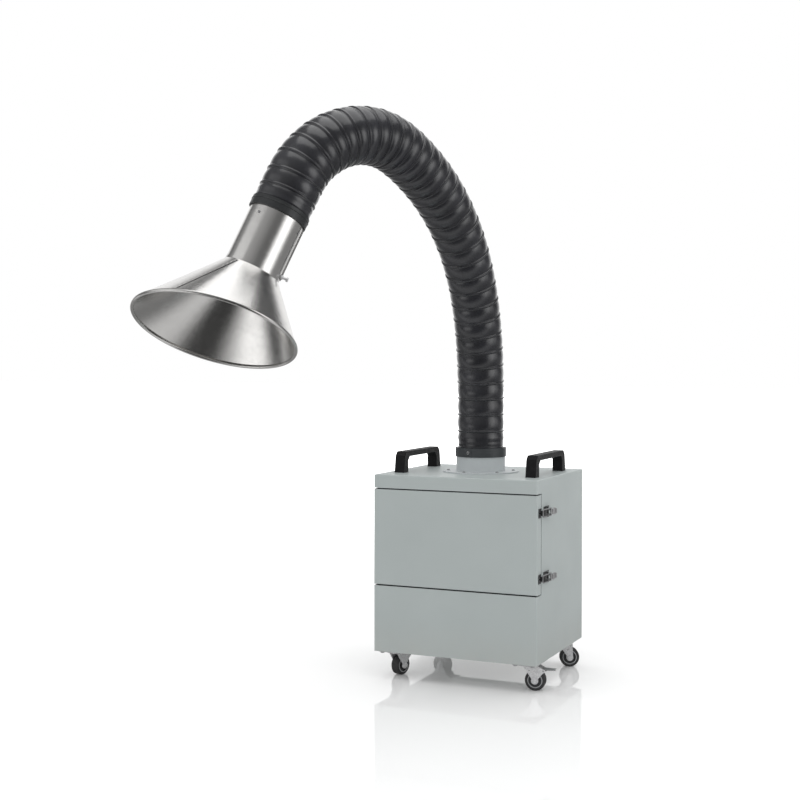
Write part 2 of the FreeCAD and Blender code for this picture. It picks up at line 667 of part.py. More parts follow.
def arm_hose():
    """Hose with its bore and its raised ribs."""
    pitch = ARM_LENGTH / HOSE_RIB_COUNT
    outer = [ring_wire(0.0, 0.0)]
    inner = [ring_wire(0.0, -HOSE_WALL)]
    for i in range(HOSE_RIB_COUNT):
        middle = (i + 0.5) * pitch
        if ring_depth() < middle - HOSE_RIB_WIDTH and middle + HOSE_RIB_WIDTH < ARM_LENGTH - ring_depth():
            outer.append(ring_wire(middle - HOSE_RIB_WIDTH / 2, 0.0))
            outer.append(ring_wire(middle - HOSE_RIB_CREST / 2, HOSE_RIB_HEIGHT))
            outer.append(ring_wire(middle + HOSE_RIB_CREST / 2, HOSE_RIB_HEIGHT))
            outer.append(ring_wire(middle + HOSE_RIB_WIDTH / 2, 0.0))
        inner.append(ring_wire(middle, -HOSE_WALL))
    outer.append(ring_wire(ARM_LENGTH, 0.0))
    inner.append(ring_wire(ARM_LENGTH, -HOSE_WALL))
    return Part.makeLoft(outer, True, True).cut(Part.makeLoft(inner, True, True))


def ring_depth():
    """Length of hose inside a ring."""
    return RING_LENGTH - RING_OVER_TUBE


def coupling_ring(seat, direction, tube_radius, hose_radius):
    """Stepped ring at a seat plane: one half over a tube, the other over the hose's end.

    The direction points from the seat, where tube and hose meet, along the hose.
    """
    outer_radius = max(tube_radius, hose_radius) + RING_WALL
    ring = rod(outer_radius, seat - direction * RING_OVER_TUBE, direction, RING_LENGTH)
    tube_length = RING_OVER_TUBE + OVERCUT
    tube_bore = rod(tube_radius + SLIP_CLEARANCE, seat - direction * tube_length, direction, tube_length)
    hose_bore = rod(hose_radius + SLIP_CLEARANCE, seat, direction, RING_LENGTH)
    return ring.cut(tube_bore).cut(hose_bore)


def hose_clamp_ring():
    """Ring at the foot of the hose; it turns on the duct tube."""
    return coupling_ring(V(0, 0, HOSE_FOOT_Z), UP, DUCT_TUBE_RADIUS, skin_radius(0.0))


def hood_cuff():
    """Ring that joins the hose's far end to the hood's collar."""
    return coupling_ring(ARM_END, ARM_AXIS * -1, HOOD_COLLAR_RADIUS, skin_radius(ARM_LENGTH))


# Hood

COLLAR_START = ARM_END + ARM_AXIS * SLIP_CLEARANCE
COLLAR_END = COLLAR_START + ARM_AXIS * HOOD_COLLAR_LENGTH
MOUTH_SHIFT = ARM_SIDE * HOOD_MOUTH_SIDEWAYS + ARM_FACE * HOOD_MOUTH_FORWARD
MOUTH_CENTRE = COLLAR_END + ARM_AXIS * HOOD_CONE_LENGTH + MOUTH_SHIFT


def round_collar(turn_degrees):
    """Direction square to the collar's axis, at a turn from the arm's side."""
    turn = math.radians(turn_degrees)
    return ARM_SIDE * math.cos(turn) + ARM_FACE * math.sin(turn)


def mouth_normal():
    """Direction that the hood's mouth faces: the collar's axis, leaned over a little."""
    lean = math.radians(HOOD_MOUTH_LEAN_ANGLE)
    return ARM_AXIS * math.cos(lean) + round_collar(HOOD_MOUTH_LEAN_TURN) * math.sin(lean)


def damper_centre():
    """Middle of the damper's spindle on the collar's axis."""
    return COLLAR_END - ARM_AXIS * DAMPER_FROM_END


def hood_collar():
    """Straight collar with the two holes for the damper's spindle."""
    inner = HOOD_COLLAR_RADIUS - HOOD_SHEET
    collar = pipe(HOOD_COLLAR_RADIUS, inner, COLLAR_START, ARM_AXIS, HOOD_COLLAR_LENGTH)
    across = round_collar(DAMPER_TURN)
    reach = HOOD_COLLAR_RADIUS * 1.2
    hole = rod(DAMPER_SPINDLE_RADIUS + RUNNING_CLEARANCE, damper_centre() - across * reach, across, 2 * reach)
    return collar.cut(hole)


def mouth_circle(centre, normal, radius):
    """Circle whose start lies towards the arm's side, for lofts without twist."""
    steady = ARM_SIDE - normal * normal.dot(ARM_SIDE)
    steady.normalize()
    return circle_wire(centre, normal, steady, radius)


def hood_cone():
    """Sheet cone from the collar to the leaning mouth, with a short lip round the collar's end."""
    normal = mouth_normal()
    throat = HOOD_COLLAR_RADIUS + RUNNING_CLEARANCE
    outside = Part.makeLoft([mouth_circle(COLLAR_END, ARM_AXIS, throat + HOOD_SHEET),
                             mouth_circle(MOUTH_CENTRE, normal, HOOD_MOUTH_RADIUS)], True, True)
    inside = Part.makeLoft([mouth_circle(COLLAR_END, ARM_AXIS, throat),
                            mouth_circle(MOUTH_CENTRE, normal, HOOD_MOUTH_RADIUS - HOOD_SHEET)], True, True)
    lip_start = COLLAR_END - ARM_AXIS * HOOD_LIP_LENGTH
    lip = pipe(throat + HOOD_SHEET, throat, lip_start, ARM_AXIS, HOOD_LIP_LENGTH)
    return fuse([outside.cut(inside), lip])


def hood_rim():
    """Rolled bead round the mouth, with a flat seat on the sheet's edge."""
    normal = mouth_normal()
    bead_centre = MOUTH_CENTRE + normal * HOOD_RIM_BEAD_DROP
    bead = Part.makeTorus(HOOD_MOUTH_RADIUS - HOOD_SHEET / 2, HOOD_RIM_BEAD_RADIUS, bead_centre, normal)
    return bead.common(rod(HOOD_MOUTH_RADIUS * 1.2, MOUTH_CENTRE, normal, 3 * HOOD_RIM_BEAD_RADIUS))


def damper_spindle():
    """Spindle across the collar, with two nuts on its outer end."""
    across, centre = round_collar(DAMPER_TURN), damper_centre()
    lip = HOOD_COLLAR_RADIUS + HOOD_SHEET
    inner_end = HOOD_COLLAR_RADIUS + DAMPER_SPINDLE_TAIL
    length = inner_end + lip + DAMPER_SPINDLE_STICK_OUT
    spindle = rod(DAMPER_SPINDLE_RADIUS, centre - across * inner_end, across, length)
    nut_seat = lip + AXIAL_CLEARANCE * 2
    pieces = [spindle]
    for start in (nut_seat, lip + DAMPER_SPINDLE_STICK_OUT - DAMPER_NUT_HEIGHT):
        pieces.append(rod(DAMPER_NUT_RADIUS, centre + across * start, across, DAMPER_NUT_HEIGHT))
    return fuse(pieces).cut(damper_disc())


def damper_disc():
    """Butterfly disc, drawn open: it lies along the air flow."""
    across = round_collar(DAMPER_TURN)
    facing = ARM_AXIS.cross(across)
    radius = HOOD_COLLAR_RADIUS - HOOD_SHEET - DAMPER_DISC_CLEARANCE
    return rod(radius, damper_centre() - facing * DAMPER_DISC_THICKNESS / 2, facing, DAMPER_DISC_THICKNESS)


# Casters

def caster_place(name):
    """Swivel axis of a caster on the floor."""
    side_x = 1 if name.endswith("right") else -1
    side_y = -1 if name.startswith("front") else 1
    out_x = HALF_W - CASTER_INSET - CASTER_PLATE_X / 2
    out_y = HALF_D - CASTER_INSET - CASTER_PLATE_Y / 2
    return V(side_x * out_x, side_y * out_y, 0)


def on_caster(shape, name):
    """Put a caster piece, drawn with its trail along +X, at its place and turn."""
    return moved(turned(shape, CASTER_TURNS[name]), caster_place(name))


RACE_BOTTOM_Z = CASTER_HEIGHT - CASTER_PLATE_THICKNESS - CASTER_RACE_HEIGHT
CROWN_TOP_Z = RACE_BOTTOM_Z - AXIAL_CLEARANCE
CROWN_BOTTOM_Z = CROWN_TOP_Z - FORK_SHEET
FORK_INNER = WHEEL_WIDTH / 2 + FORK_SIDE_CLEARANCE
FORK_OUTER = FORK_INNER + FORK_SHEET


def caster_plate(name):
    """Top plate with the ball race and the kingpin that holds the fork."""
    low_z = CASTER_HEIGHT - CASTER_PLATE_THICKNESS
    half_x, half_y = CASTER_PLATE_X / 2, CASTER_PLATE_Y / 2
    plate = box((-half_x, -half_y, low_z), (half_x, half_y, CASTER_HEIGHT))
    corners = outer_edges(plate, lambda c: abs(c.x) > half_x * 0.99 and abs(c.y) > half_y * 0.99)
    plate = plate.makeFillet(CASTER_PLATE_CORNER, corners)
    race = Part.makeCone(CASTER_RACE_RADIUS, CASTER_RACE_RADIUS - CASTER_RACE_HEIGHT / 2, CASTER_RACE_HEIGHT,
                         V(0, 0, low_z), UP * -1)
    head_top = CROWN_BOTTOM_Z - AXIAL_CLEARANCE
    pin = rod(KINGPIN_RADIUS, V(0, 0, head_top), UP, low_z - head_top)
    head = rod(KINGPIN_HEAD_RADIUS, V(0, 0, head_top - KINGPIN_HEAD_HEIGHT), UP, KINGPIN_HEAD_HEIGHT)
    return moved(fuse([plate, race, pin, head]), caster_place(name))


def pedal_pivot():
    """Pivot of the brake pedal, in the caster's own frame."""
    return V(CASTER_TRAIL + PEDAL_PIVOT_BACK, 0, WHEEL_RADIUS + PEDAL_PIVOT_RISE)


def caster_fork(name):
    """Pressed fork: a crown and two tapered legs, with ears for the pedal's pivot on a braked caster."""
    crown = rod(CASTER_RACE_RADIUS, V(0, 0, CROWN_BOTTOM_Z), UP, FORK_SHEET)
    yoke = box((-FORK_CROWN_BACK, -FORK_OUTER, CROWN_BOTTOM_Z), (FORK_CROWN_AHEAD, FORK_OUTER, CROWN_TOP_Z))
    pivot = pedal_pivot()
    boss = AXLE_NUT_RADIUS + FORK_BOSS_WALL
    ear = PEDAL_PIN_RADIUS + FORK_BOSS_WALL
    waist_z = WHEEL_RADIUS + FORK_LEG_RISE
    braked = name in BRAKED_CASTERS
    pieces = [crown, yoke]
    for side in (-1, 1):
        y = side * FORK_INNER
        out = V(0, side * FORK_SHEET, 0)
        leg = [V(-FORK_CROWN_BACK, y, CROWN_TOP_Z), V(FORK_CROWN_AHEAD, y, CROWN_TOP_Z)]
        if braked:
            leg += [V(pivot.x, y, pivot.z + ear), V(pivot.x, y, pivot.z - ear)]
            pieces.append(rod(ear, V(pivot.x, y, pivot.z), out, FORK_SHEET))
        leg += [V(CASTER_TRAIL + FORK_LEG_WAIST, y, waist_z), V(CASTER_TRAIL - FORK_LEG_WAIST, y, waist_z)]
        pieces.append(plate_from(leg, out))
        pieces.append(rod(boss, V(CASTER_TRAIL, y, WHEEL_RADIUS), out, FORK_SHEET))
    fork = fuse(pieces)
    pin_start = V(0, 0, CROWN_BOTTOM_Z - OVERCUT)
    fork = fork.cut(rod(KINGPIN_RADIUS + RUNNING_CLEARANCE, pin_start, UP, FORK_SHEET + 2 * OVERCUT))
    if braked:
        width = 2 * (FORK_OUTER + OVERCUT)
        fork = fork.cut(rod(PEDAL_PIN_RADIUS + RUNNING_CLEARANCE, V(pivot.x, -width / 2, pivot.z), BACK, width))
    return on_caster(fuse([fork] + caster_axle()), name)


def caster_axle():
    """Axle bolt riveted through both legs, with its head and nut."""
    pieces = [rod(AXLE_RADIUS, V(CASTER_TRAIL, -FORK_OUTER, WHEEL_RADIUS), BACK, 2 * FORK_OUTER)]
    for side in (-1, 1):
        points = []
        for i in range(6):
            turn = math.radians(60 * i)
            points.append(V(CASTER_TRAIL + AXLE_NUT_RADIUS * math.cos(turn), side * FORK_OUTER,
                            WHEEL_RADIUS + AXLE_NUT_RADIUS * math.sin(turn)))
        pieces.append(plate_from(points, V(0, side * AXLE_NUT_HEIGHT, 0)))
    return pieces


def wheel_profile(points):
    """Ring turned about the wheel's axle from (radius, side) points."""
    outline = [V(CASTER_TRAIL + radius, side, WHEEL_RADIUS) for radius, side in points]
    face = Part.Face(Part.makePolygon(outline + [outline[0]]))
    return face.revolve(V(CASTER_TRAIL, 0, WHEEL_RADIUS), BACK, 360)


def caster_tread(name):
    """Rubber tread with rounded shoulders."""
    half, rim = WHEEL_WIDTH / 2, WHEEL_RADIUS - TREAD_THICKNESS
    shoulder = TREAD_SHOULDER
    ring = wheel_profile([(rim, -half), (WHEEL_RADIUS - shoulder, -half), (WHEEL_RADIUS, -half + shoulder),
                          (WHEEL_RADIUS, half - shoulder), (WHEEL_RADIUS - shoulder, half), (rim, half)])
    return on_caster(ring, name)


def caster_hub(name):
    """Wheel centre with a raised rim, a web and a bored boss."""
    half, rim = WHEEL_WIDTH / 2, WHEEL_RADIUS - TREAD_THICKNESS
    bore = AXLE_RADIUS + RUNNING_CLEARANCE
    boss = AXLE_NUT_RADIUS + HUB_BOSS_WALL
    web = HUB_WEB_WIDTH / 2
    lip = rim - HUB_RIM_WALL
    outer = half + FORK_SIDE_CLEARANCE - AXIAL_CLEARANCE * 2
    points = [(bore, -outer), (boss, -outer), (boss, -web), (lip, -web), (lip, -half), (rim, -half),
              (rim, half), (lip, half), (lip, web), (boss, web), (boss, outer), (bore, outer)]
    return on_caster(wheel_profile(points), name)


def brake_pedal(name):
    """Brake pedal on its cross pin, between the fork's ears."""
    pivot = pedal_pivot()
    half = FORK_INNER - AXIAL_CLEARANCE * 2
    barrel = PEDAL_PIN_RADIUS + PEDAL_SHEET
    pieces = [rod(barrel, V(pivot.x, -half, pivot.z), BACK, 2 * half),
              rod(PEDAL_PIN_RADIUS, V(pivot.x, -FORK_OUTER, pivot.z), BACK, 2 * FORK_OUTER)]
    start_x = pivot.x + barrel + PEDAL_NECK
    end_x = start_x + PEDAL_LENGTH
    low_z = pivot.z + barrel - PEDAL_SHEET
    neck = box((pivot.x, -half, pivot.z), (start_x, half, pivot.z + barrel))
    tongue = [V(start_x, -PEDAL_WIDTH / 2, low_z), V(end_x, -PEDAL_TIP_WIDTH / 2, low_z),
              V(end_x, PEDAL_TIP_WIDTH / 2, low_z), V(start_x, PEDAL_WIDTH / 2, low_z)]
    pieces += [neck, plate_from(tongue, V(0, 0, PEDAL_SHEET))]
    return on_caster(fuse(pieces), name)


# Filters and blower

def filter_deck():
    """Shelf that carries the filters, with the blower's inlet hole."""
    low_z = DECK_TOP_Z - DECK_THICKNESS
    deck = box((-HALF_W + SHEET, -HALF_D + SHEET, low_z), (HALF_W - SHEET, HALF_D - SHEET, DECK_TOP_Z))
    return deck.cut(rod(FAN_INLET_RADIUS, V(0, FAN_Y, low_z - OVERCUT), UP, DECK_THICKNESS + 2 * OVERCUT))


def filter_box():
    """Lowest and highest X and Y of the filters."""
    half_x = HALF_W - SHEET - FILTER_SIDE_ROOM
    front = FRAME_Y + SHEET + FILTER_FRONT_ROOM
    return -half_x, front, half_x, BACK_INNER_Y - FILTER_BACK_ROOM


def filter_frame(low_z, height, wall):
    """Open rectangular frame."""
    x0, y0, x1, y1 = filter_box()
    frame = box((x0, y0, low_z), (x1, y1, low_z + height))
    return frame.cut(box((x0 + wall, y0 + wall, low_z - OVERCUT),
                         (x1 - wall, y1 - wall, low_z + height + OVERCUT)))


def carbon_filter():
    """Activated-carbon tray: a frame with a bed between."""
    x0, y0, x1, y1 = filter_box()
    frame = filter_frame(DECK_TOP_Z, CARBON_HEIGHT, FILTER_WALL)
    inset = FILTER_WALL / 2
    bed = box((x0 + FILTER_WALL, y0 + FILTER_WALL, DECK_TOP_Z + inset),
              (x1 - FILTER_WALL, y1 - FILTER_WALL, DECK_TOP_Z + CARBON_HEIGHT - inset))
    return fuse([frame, bed])


def hepa_frame():
    """Frame of the main filter."""
    return filter_frame(DECK_TOP_Z + CARBON_HEIGHT, HEPA_HEIGHT, FILTER_WALL)


def hepa_pleats():
    """Pleated paper pack of the main filter."""
    x0, y0, x1, y1 = filter_box()
    low = DECK_TOP_Z + CARBON_HEIGHT + FILTER_WALL / 2
    high = low + HEPA_HEIGHT - FILTER_WALL
    left, right = x0 + FILTER_WALL, x1 - FILTER_WALL
    pitch = (right - left) / PLEAT_COUNT
    upper, lower = [], []
    for i in range(2 * PLEAT_COUNT + 1):
        x = left + i * pitch / 2
        z = low if i % 2 == 0 else high - PLEAT_FOLD
        lower.append(V(x, y0 + FILTER_WALL, z))
        upper.append(V(x, y0 + FILTER_WALL, z + PLEAT_FOLD))
    return plate_from(lower + upper[::-1], V(0, y1 - y0 - 2 * FILTER_WALL, 0))


def prefilter():
    """Coarse filter mat in a thin frame on top of the stack."""
    x0, y0, x1, y1 = filter_box()
    low = DECK_TOP_Z + CARBON_HEIGHT + HEPA_HEIGHT
    high = low + PREFILTER_HEIGHT
    mat = box((x0, y0, low), (x1, y1, high))
    return mat.makeFillet(FILTER_WALL / 2, outer_edges(mat, lambda c: abs(c.z - high) < 0.1))


def scroll_block(z, height, shrink):
    """Volute of four quarter arcs, each on a larger radius, joined to the straight outlet."""
    half = SCROLL_STEP / 2
    radius = SCROLL_RADIUS - shrink
    arcs = []
    corners = []
    for i, (x, y) in enumerate(((-half, half), (-half, -half), (half, -half), (half, half))):
        points = []
        for part in (0.0, 45.0, 90.0):
            turn = math.radians(90.0 * i + part)
            points.append(V(x + radius * math.cos(turn), FAN_Y + y + radius * math.sin(turn), z))
        arcs.append(Part.Arc(*points).toShape())
        corners += points
        radius += SCROLL_STEP
    arcs.append(Part.makeLine(corners[-1], corners[0]))
    block = Part.Face(Part.Wire(arcs)).extrude(V(0, 0, height))
    outlet = box((outlet_left() + shrink, FAN_Y, z), (outlet_right() - shrink, BACK_INNER_Y, z + height))
    return fuse([block, outlet])


def outlet_left():
    """Left side of the blower's outlet duct."""
    return SCROLL_STEP


def outlet_right():
    """Right side of the blower's outlet duct, in line with the volute."""
    return SCROLL_STEP / 2 + SCROLL_RADIUS + 3 * SCROLL_STEP


def scroll_top_z():
    """Top of the blower housing, against the deck."""
    return DECK_TOP_Z - DECK_THICKNESS


def fan_housing():
    """Sheet volute with its inlet on top, its motor hole below and its outlet at the back wall."""
    top = scroll_top_z()
    low = top - SCROLL_HEIGHT
    t = SCROLL_SHEET
    body = scroll_block(low, SCROLL_HEIGHT, 0.0)
    room = scroll_block(low + t, SCROLL_HEIGHT - 2 * t, t)
    body = body.cut(room)
    body = body.cut(box((outlet_left() + t, BACK_INNER_Y - 2 * t, low + t),
                        (outlet_right() - t, BACK_INNER_Y + OVERCUT, top - t)))
    body = body.cut(rod(FAN_INLET_RADIUS, V(0, FAN_Y, top - 2 * t), UP, 4 * t))
    shaft_hole = MOTOR_SHAFT_RADIUS + MOTOR_HOLE_ROOM
    return body.cut(rod(shaft_hole, V(0, FAN_Y, low - OVERCUT), UP, t + 2 * OVERCUT))


def impeller_low_z():
    """Underside of the impeller's back plate."""
    return scroll_top_z() - SCROLL_HEIGHT + SCROLL_SHEET + IMPELLER_FLOOR_ROOM


def impeller():
    """Backward-leaning blades between a back plate and an inlet ring, on a bored hub."""
    low = impeller_low_z()
    t = IMPELLER_SHEET
    centre = V(0, FAN_Y, low)
    pieces = [rod(IMPELLER_RADIUS, centre, UP, t),
              rod(MOTOR_SHAFT_RADIUS + IMPELLER_HUB_WALL, centre, UP, IMPELLER_HUB_HEIGHT)]
    ring_z = low + IMPELLER_HEIGHT - t
    pieces.append(pipe(IMPELLER_RADIUS, IMPELLER_EYE_RADIUS, V(0, FAN_Y, ring_z), UP, t))
    inner = IMPELLER_BLADE_START
    for i in range(IMPELLER_BLADES):
        blade = box((inner, -t / 2, low + t / 2), (IMPELLER_RADIUS, t / 2, low + IMPELLER_HEIGHT - t / 2))
        blade = turned(blade, IMPELLER_BLADE_ANGLE, V(inner, 0, 0))
        blade = blade.common(rod(IMPELLER_RADIUS, V(0, 0, low), UP, IMPELLER_HEIGHT))
        pieces.append(moved(turned(blade, 360.0 * i / IMPELLER_BLADES), V(0, FAN_Y, 0)))
    wheel = fuse(pieces)
    return wheel.cut(rod(MOTOR_SHAFT_RADIUS + RUNNING_CLEARANCE, centre - UP, UP, IMPELLER_HEIGHT))


def fan_motor():
    """Motor under the housing with its shaft up into the impeller and its foot on the floor."""
    top = scroll_top_z() - SCROLL_HEIGHT
    floor = FLOOR_Z + SHEET
    body = rod(MOTOR_RADIUS, V(0, FAN_Y, floor), UP, top - floor)
    shaft_top = impeller_low_z() + IMPELLER_HUB_HEIGHT
    shaft = rod(MOTOR_SHAFT_RADIUS, V(0, FAN_Y, floor), UP, shaft_top - floor)
    half = MOTOR_RADIUS + MOTOR_FOOT_REACH
    foot = box((-half, FAN_Y - half, floor), (half, FAN_Y + half, floor + SHEET))
    return fuse([body, shaft, foot])


# Back wall

def grille_centre():
    """Middle of the exhaust grille, in line with the blower's outlet."""
    return (outlet_left() + outlet_right()) / 2, scroll_top_z() - SCROLL_HEIGHT / 2


def grille_opening():
    """Lowest and highest X and Z of the cut-out behind the grille."""
    _, z = grille_centre()
    half_z = SCROLL_HEIGHT / 2 - SCROLL_SHEET
    return (outlet_left() + SCROLL_SHEET, z - half_z), (outlet_right() - SCROLL_SHEET, z + half_z)


def exhaust_grille():
    """Slotted plate over the exhaust, with raised louvres."""
    x, z = grille_centre()
    half_x, half_z = GRILLE_WIDTH / 2, GRILLE_HEIGHT / 2
    plate = box((x - half_x, HALF_D, z - half_z), (x + half_x, HALF_D + GRILLE_SHEET, z + half_z))
    corners = outer_edges(plate, lambda c: abs(c.x - x) > half_x * 0.99 and abs(c.z - z) > half_z * 0.99)
    plate = plate.makeFillet(GRILLE_BORDER / 2, corners)
    pitch = (GRILLE_HEIGHT - 2 * GRILLE_BORDER) / GRILLE_SLOTS
    slot_half = half_x - GRILLE_BORDER
    hoods = []
    for i in range(GRILLE_SLOTS):
        mid = z - half_z + GRILLE_BORDER + (i + 0.5) * pitch
        top = mid + GRILLE_SLOT_WIDTH / 2
        plate = plate.cut(box((x - slot_half, HALF_D - OVERCUT, mid - GRILLE_SLOT_WIDTH / 2),
                              (x + slot_half, HALF_D + GRILLE_SHEET + OVERCUT, top)))
        outline = [V(x - slot_half, HALF_D, top), V(x - slot_half, HALF_D + GRILLE_SHEET, top + GRILLE_SHEET),
                   V(x - slot_half, HALF_D + GRILLE_SHEET + LOUVRE_REACH, mid),
                   V(x - slot_half, HALF_D + GRILLE_SHEET + LOUVRE_REACH - LOUVRE_EDGE, mid)]
        hoods.append(plate_from(outline, V(2 * slot_half, 0, 0)))
    return fuse([plate] + hoods)


def switch_z():
    """Middle height of the power switch."""
    return FITTING_Z - SWITCH_DROP


def dial_z():
    """Height of the speed dial."""
    return FITTING_Z + DIAL_ABOVE_INLET


def fitting_body(width, height, z, depth):
    """Snap-in fitting in the back wall: a flange outside and a body inside."""
    lip = FITTING_FLANGE
    flange = box((FITTING_X - width / 2 - lip, HALF_D, z - height / 2 - lip),
                 (FITTING_X + width / 2 + lip, HALF_D + FITTING_LIP, z + height / 2 + lip))
    body = box((FITTING_X - width / 2, HALF_D - depth, z - height / 2),
               (FITTING_X + width / 2, HALF_D, z + height / 2))
    return fuse([flange, body])


def fitting_cavity(width, height, z, wall, back_y):
    """Room inside a fitting, open at its face."""
    return box((FITTING_X - width / 2 + wall, back_y, z - height / 2 + wall),
               (FITTING_X + width / 2 - wall, HALF_D + FITTING_LIP + OVERCUT, z + height / 2 - wall))


def power_inlet():
    """Appliance inlet with its recess and three pins."""
    body = fitting_body(INLET_WIDTH, INLET_HEIGHT, FITTING_Z, INLET_DEPTH)
    floor_y = HALF_D - INLET_DEPTH + INLET_FLOOR
    recess = fitting_cavity(INLET_WIDTH, INLET_HEIGHT, FITTING_Z, INLET_WALL, floor_y)
    middle_y = recess.CenterOfMass.y
    corners = outer_edges(recess, lambda c: abs(c.y - middle_y) < 1 and c.z > FITTING_Z)
    pieces = [body.cut(recess.makeChamfer(INLET_CHAMFER, corners))]
    half_x, half_z = INLET_PIN_WIDTH / 2, INLET_PIN_HEIGHT / 2
    for side in (-1, 0, 1):
        x = FITTING_X + side * INLET_PIN_SPACING
        z = FITTING_Z - INLET_PIN_DROP if side else FITTING_Z + INLET_PIN_RISE
        pin_end = floor_y + INLET_PIN_LENGTH
        pieces.append(box((x - half_x, floor_y, z - half_z), (x + half_x, pin_end, z + half_z)))
    return fuse(pieces)


def switch_housing():
    """Frame of the power switch, open for the rocker, with the rocker's cross pin."""
    body = fitting_body(SWITCH_WIDTH, SWITCH_HEIGHT, switch_z(), SWITCH_DEPTH)
    floor_y = HALF_D - SWITCH_DEPTH + SWITCH_WALL
    cavity = fitting_cavity(SWITCH_WIDTH, SWITCH_HEIGHT, switch_z(), SWITCH_WALL, floor_y)
    start = V(FITTING_X - (SWITCH_WIDTH - SWITCH_WALL) / 2, HALF_D, switch_z())
    axle = rod(ROCKER_AXLE_RADIUS, start, RIGHT, SWITCH_WIDTH - SWITCH_WALL)
    return fuse([body.cut(cavity), axle])


def switch_rocker():
    """Rocker that tips on its cross pin, drawn on."""
    half_x = SWITCH_WIDTH / 2 - SWITCH_WALL - AXIAL_CLEARANCE * 2
    half_z = SWITCH_HEIGHT / 2 - SWITCH_WALL - ROCKER_END_ROOM
    x, y, z = FITTING_X - half_x, HALF_D, switch_z()
    face = y + FITTING_LIP + ROCKER_PROUD
    outline = [V(x, face + ROCKER_THROW, z + half_z), V(x, face, z), V(x, face, z - half_z),
               V(x, y - ROCKER_BACK, z - half_z), V(x, y - ROCKER_KEEL, z), V(x, y - ROCKER_BACK, z + half_z)]
    rocker = plate_from(outline, V(2 * half_x, 0, 0))
    bore = rod(ROCKER_AXLE_RADIUS + RUNNING_CLEARANCE, V(x - OVERCUT, y, z), RIGHT, 2 * (half_x + OVERCUT))
    return rocker.cut(bore)


def speed_dial():
    """Fluted knob on its shaft through the back wall."""
    start = V(FITTING_X, HALF_D + AXIAL_CLEARANCE, dial_z())
    knob = rod(DIAL_RADIUS, start, BACK, DIAL_DEPTH)
    flutes = []
    for i in range(DIAL_FLUTES):
        turn = math.tau * i / DIAL_FLUTES
        out = V(math.cos(turn), 0, math.sin(turn)) * (DIAL_RADIUS + DIAL_FLUTE_OUT)
        flutes.append(rod(DIAL_FLUTE_RADIUS, start + out - BACK * OVERCUT, BACK, DIAL_DEPTH + 2 * OVERCUT))
    tail = V(FITTING_X, BACK_INNER_Y - DIAL_SHAFT_TAIL, dial_z())
    shaft = rod(DIAL_SHAFT_RADIUS, tail, BACK, DIAL_SHAFT_TAIL + SHEET + DIAL_DEPTH / 2)
    return fuse([knob.cut(flutes), shaft])


def dial_pot():
    """Speed control behind the wall that carries the dial's shaft."""
    start = V(FITTING_X, BACK_INNER_Y - DIAL_POT_DEPTH, dial_z())
    body = rod(DIAL_POT_RADIUS, start, BACK, DIAL_POT_DEPTH)
    bore = DIAL_SHAFT_RADIUS + RUNNING_CLEARANCE
    return body.cut(rod(bore, start + BACK * DIAL_POT_FLOOR, BACK, DIAL_POT_DEPTH))


def all_nodes():
    """Every node by name."""
    nodes = {
        "cabinet_shell": cabinet_shell(),
        "door_panel": door_panel(),
        "door_gasket": door_gasket(),
        "hinge_cabinet_leaves": hinge_cabinet_leaves(),
        "hinge_door_leaves": hinge_door_leaves(),
        "handle_left": handle(-1),
        "handle_right": handle(1),
        "duct_collar": duct_collar(),
        "arm_hose": arm_hose(),
        "hose_clamp_ring": hose_clamp_ring(),
        "hood_cuff": hood_cuff(),
        "hood_collar": hood_collar(),
        "hood_cone": hood_cone(),
        "hood_rim": hood_rim(),
        "damper_spindle": damper_spindle(),
        "damper_disc": damper_disc(),
        "filter_deck": filter_deck(),
        "carbon_filter": carbon_filter(),
        "hepa_frame": hepa_frame(),
        "hepa_pleats": hepa_pleats(),
        "prefilter": prefilter(),
        "fan_housing": fan_housing(),
        "impeller": impeller(),
        "fan_motor": fan_motor(),
        "exhaust_grille": exhaust_grille(),
        "power_inlet": power_inlet(),
        "switch_housing": switch_housing(),
        "switch_rocker": switch_rocker(),
        "speed_dial": speed_dial(),
        "dial_pot": dial_pot(),
    }
    for level, z in latch_heights().items():
        nodes["latch_base_" + level] = latch_base(z)
        nodes["latch_lever_" + level] = latch_lever(z)
        nodes["latch_bail_" + level] = latch_bail(z)
        nodes["latch_keeper_" + level] = latch_keeper(z)
    for name in CASTER_TURNS:
        nodes["caster_plate_" + name] = caster_plate(name)
        nodes["caster_fork_" + name] = caster_fork(name)
        nodes["caster_tread_" + name] = caster_tread(name)
        nodes["caster_hub_" + name] = caster_hub(name)
    for name in BRAKED_CASTERS:
        nodes["brake_pedal_" + name] = brake_pedal(name)
    return nodes


def main():
    """Build every node and write its STEP file."""
    os.makedirs("parts", exist_ok=True)
    for name, shape in all_nodes().items():
        shape.exportStep(os.path.join("parts", name + ".step"))


main()
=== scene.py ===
"""Looks of the mobile welding fume extractor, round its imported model, in metres.

The cabinet's front faces -Y, its right is +X and +Z is up. The origin is on the floor.
"""
import bpy
import json
import math
import random
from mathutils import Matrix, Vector, noise


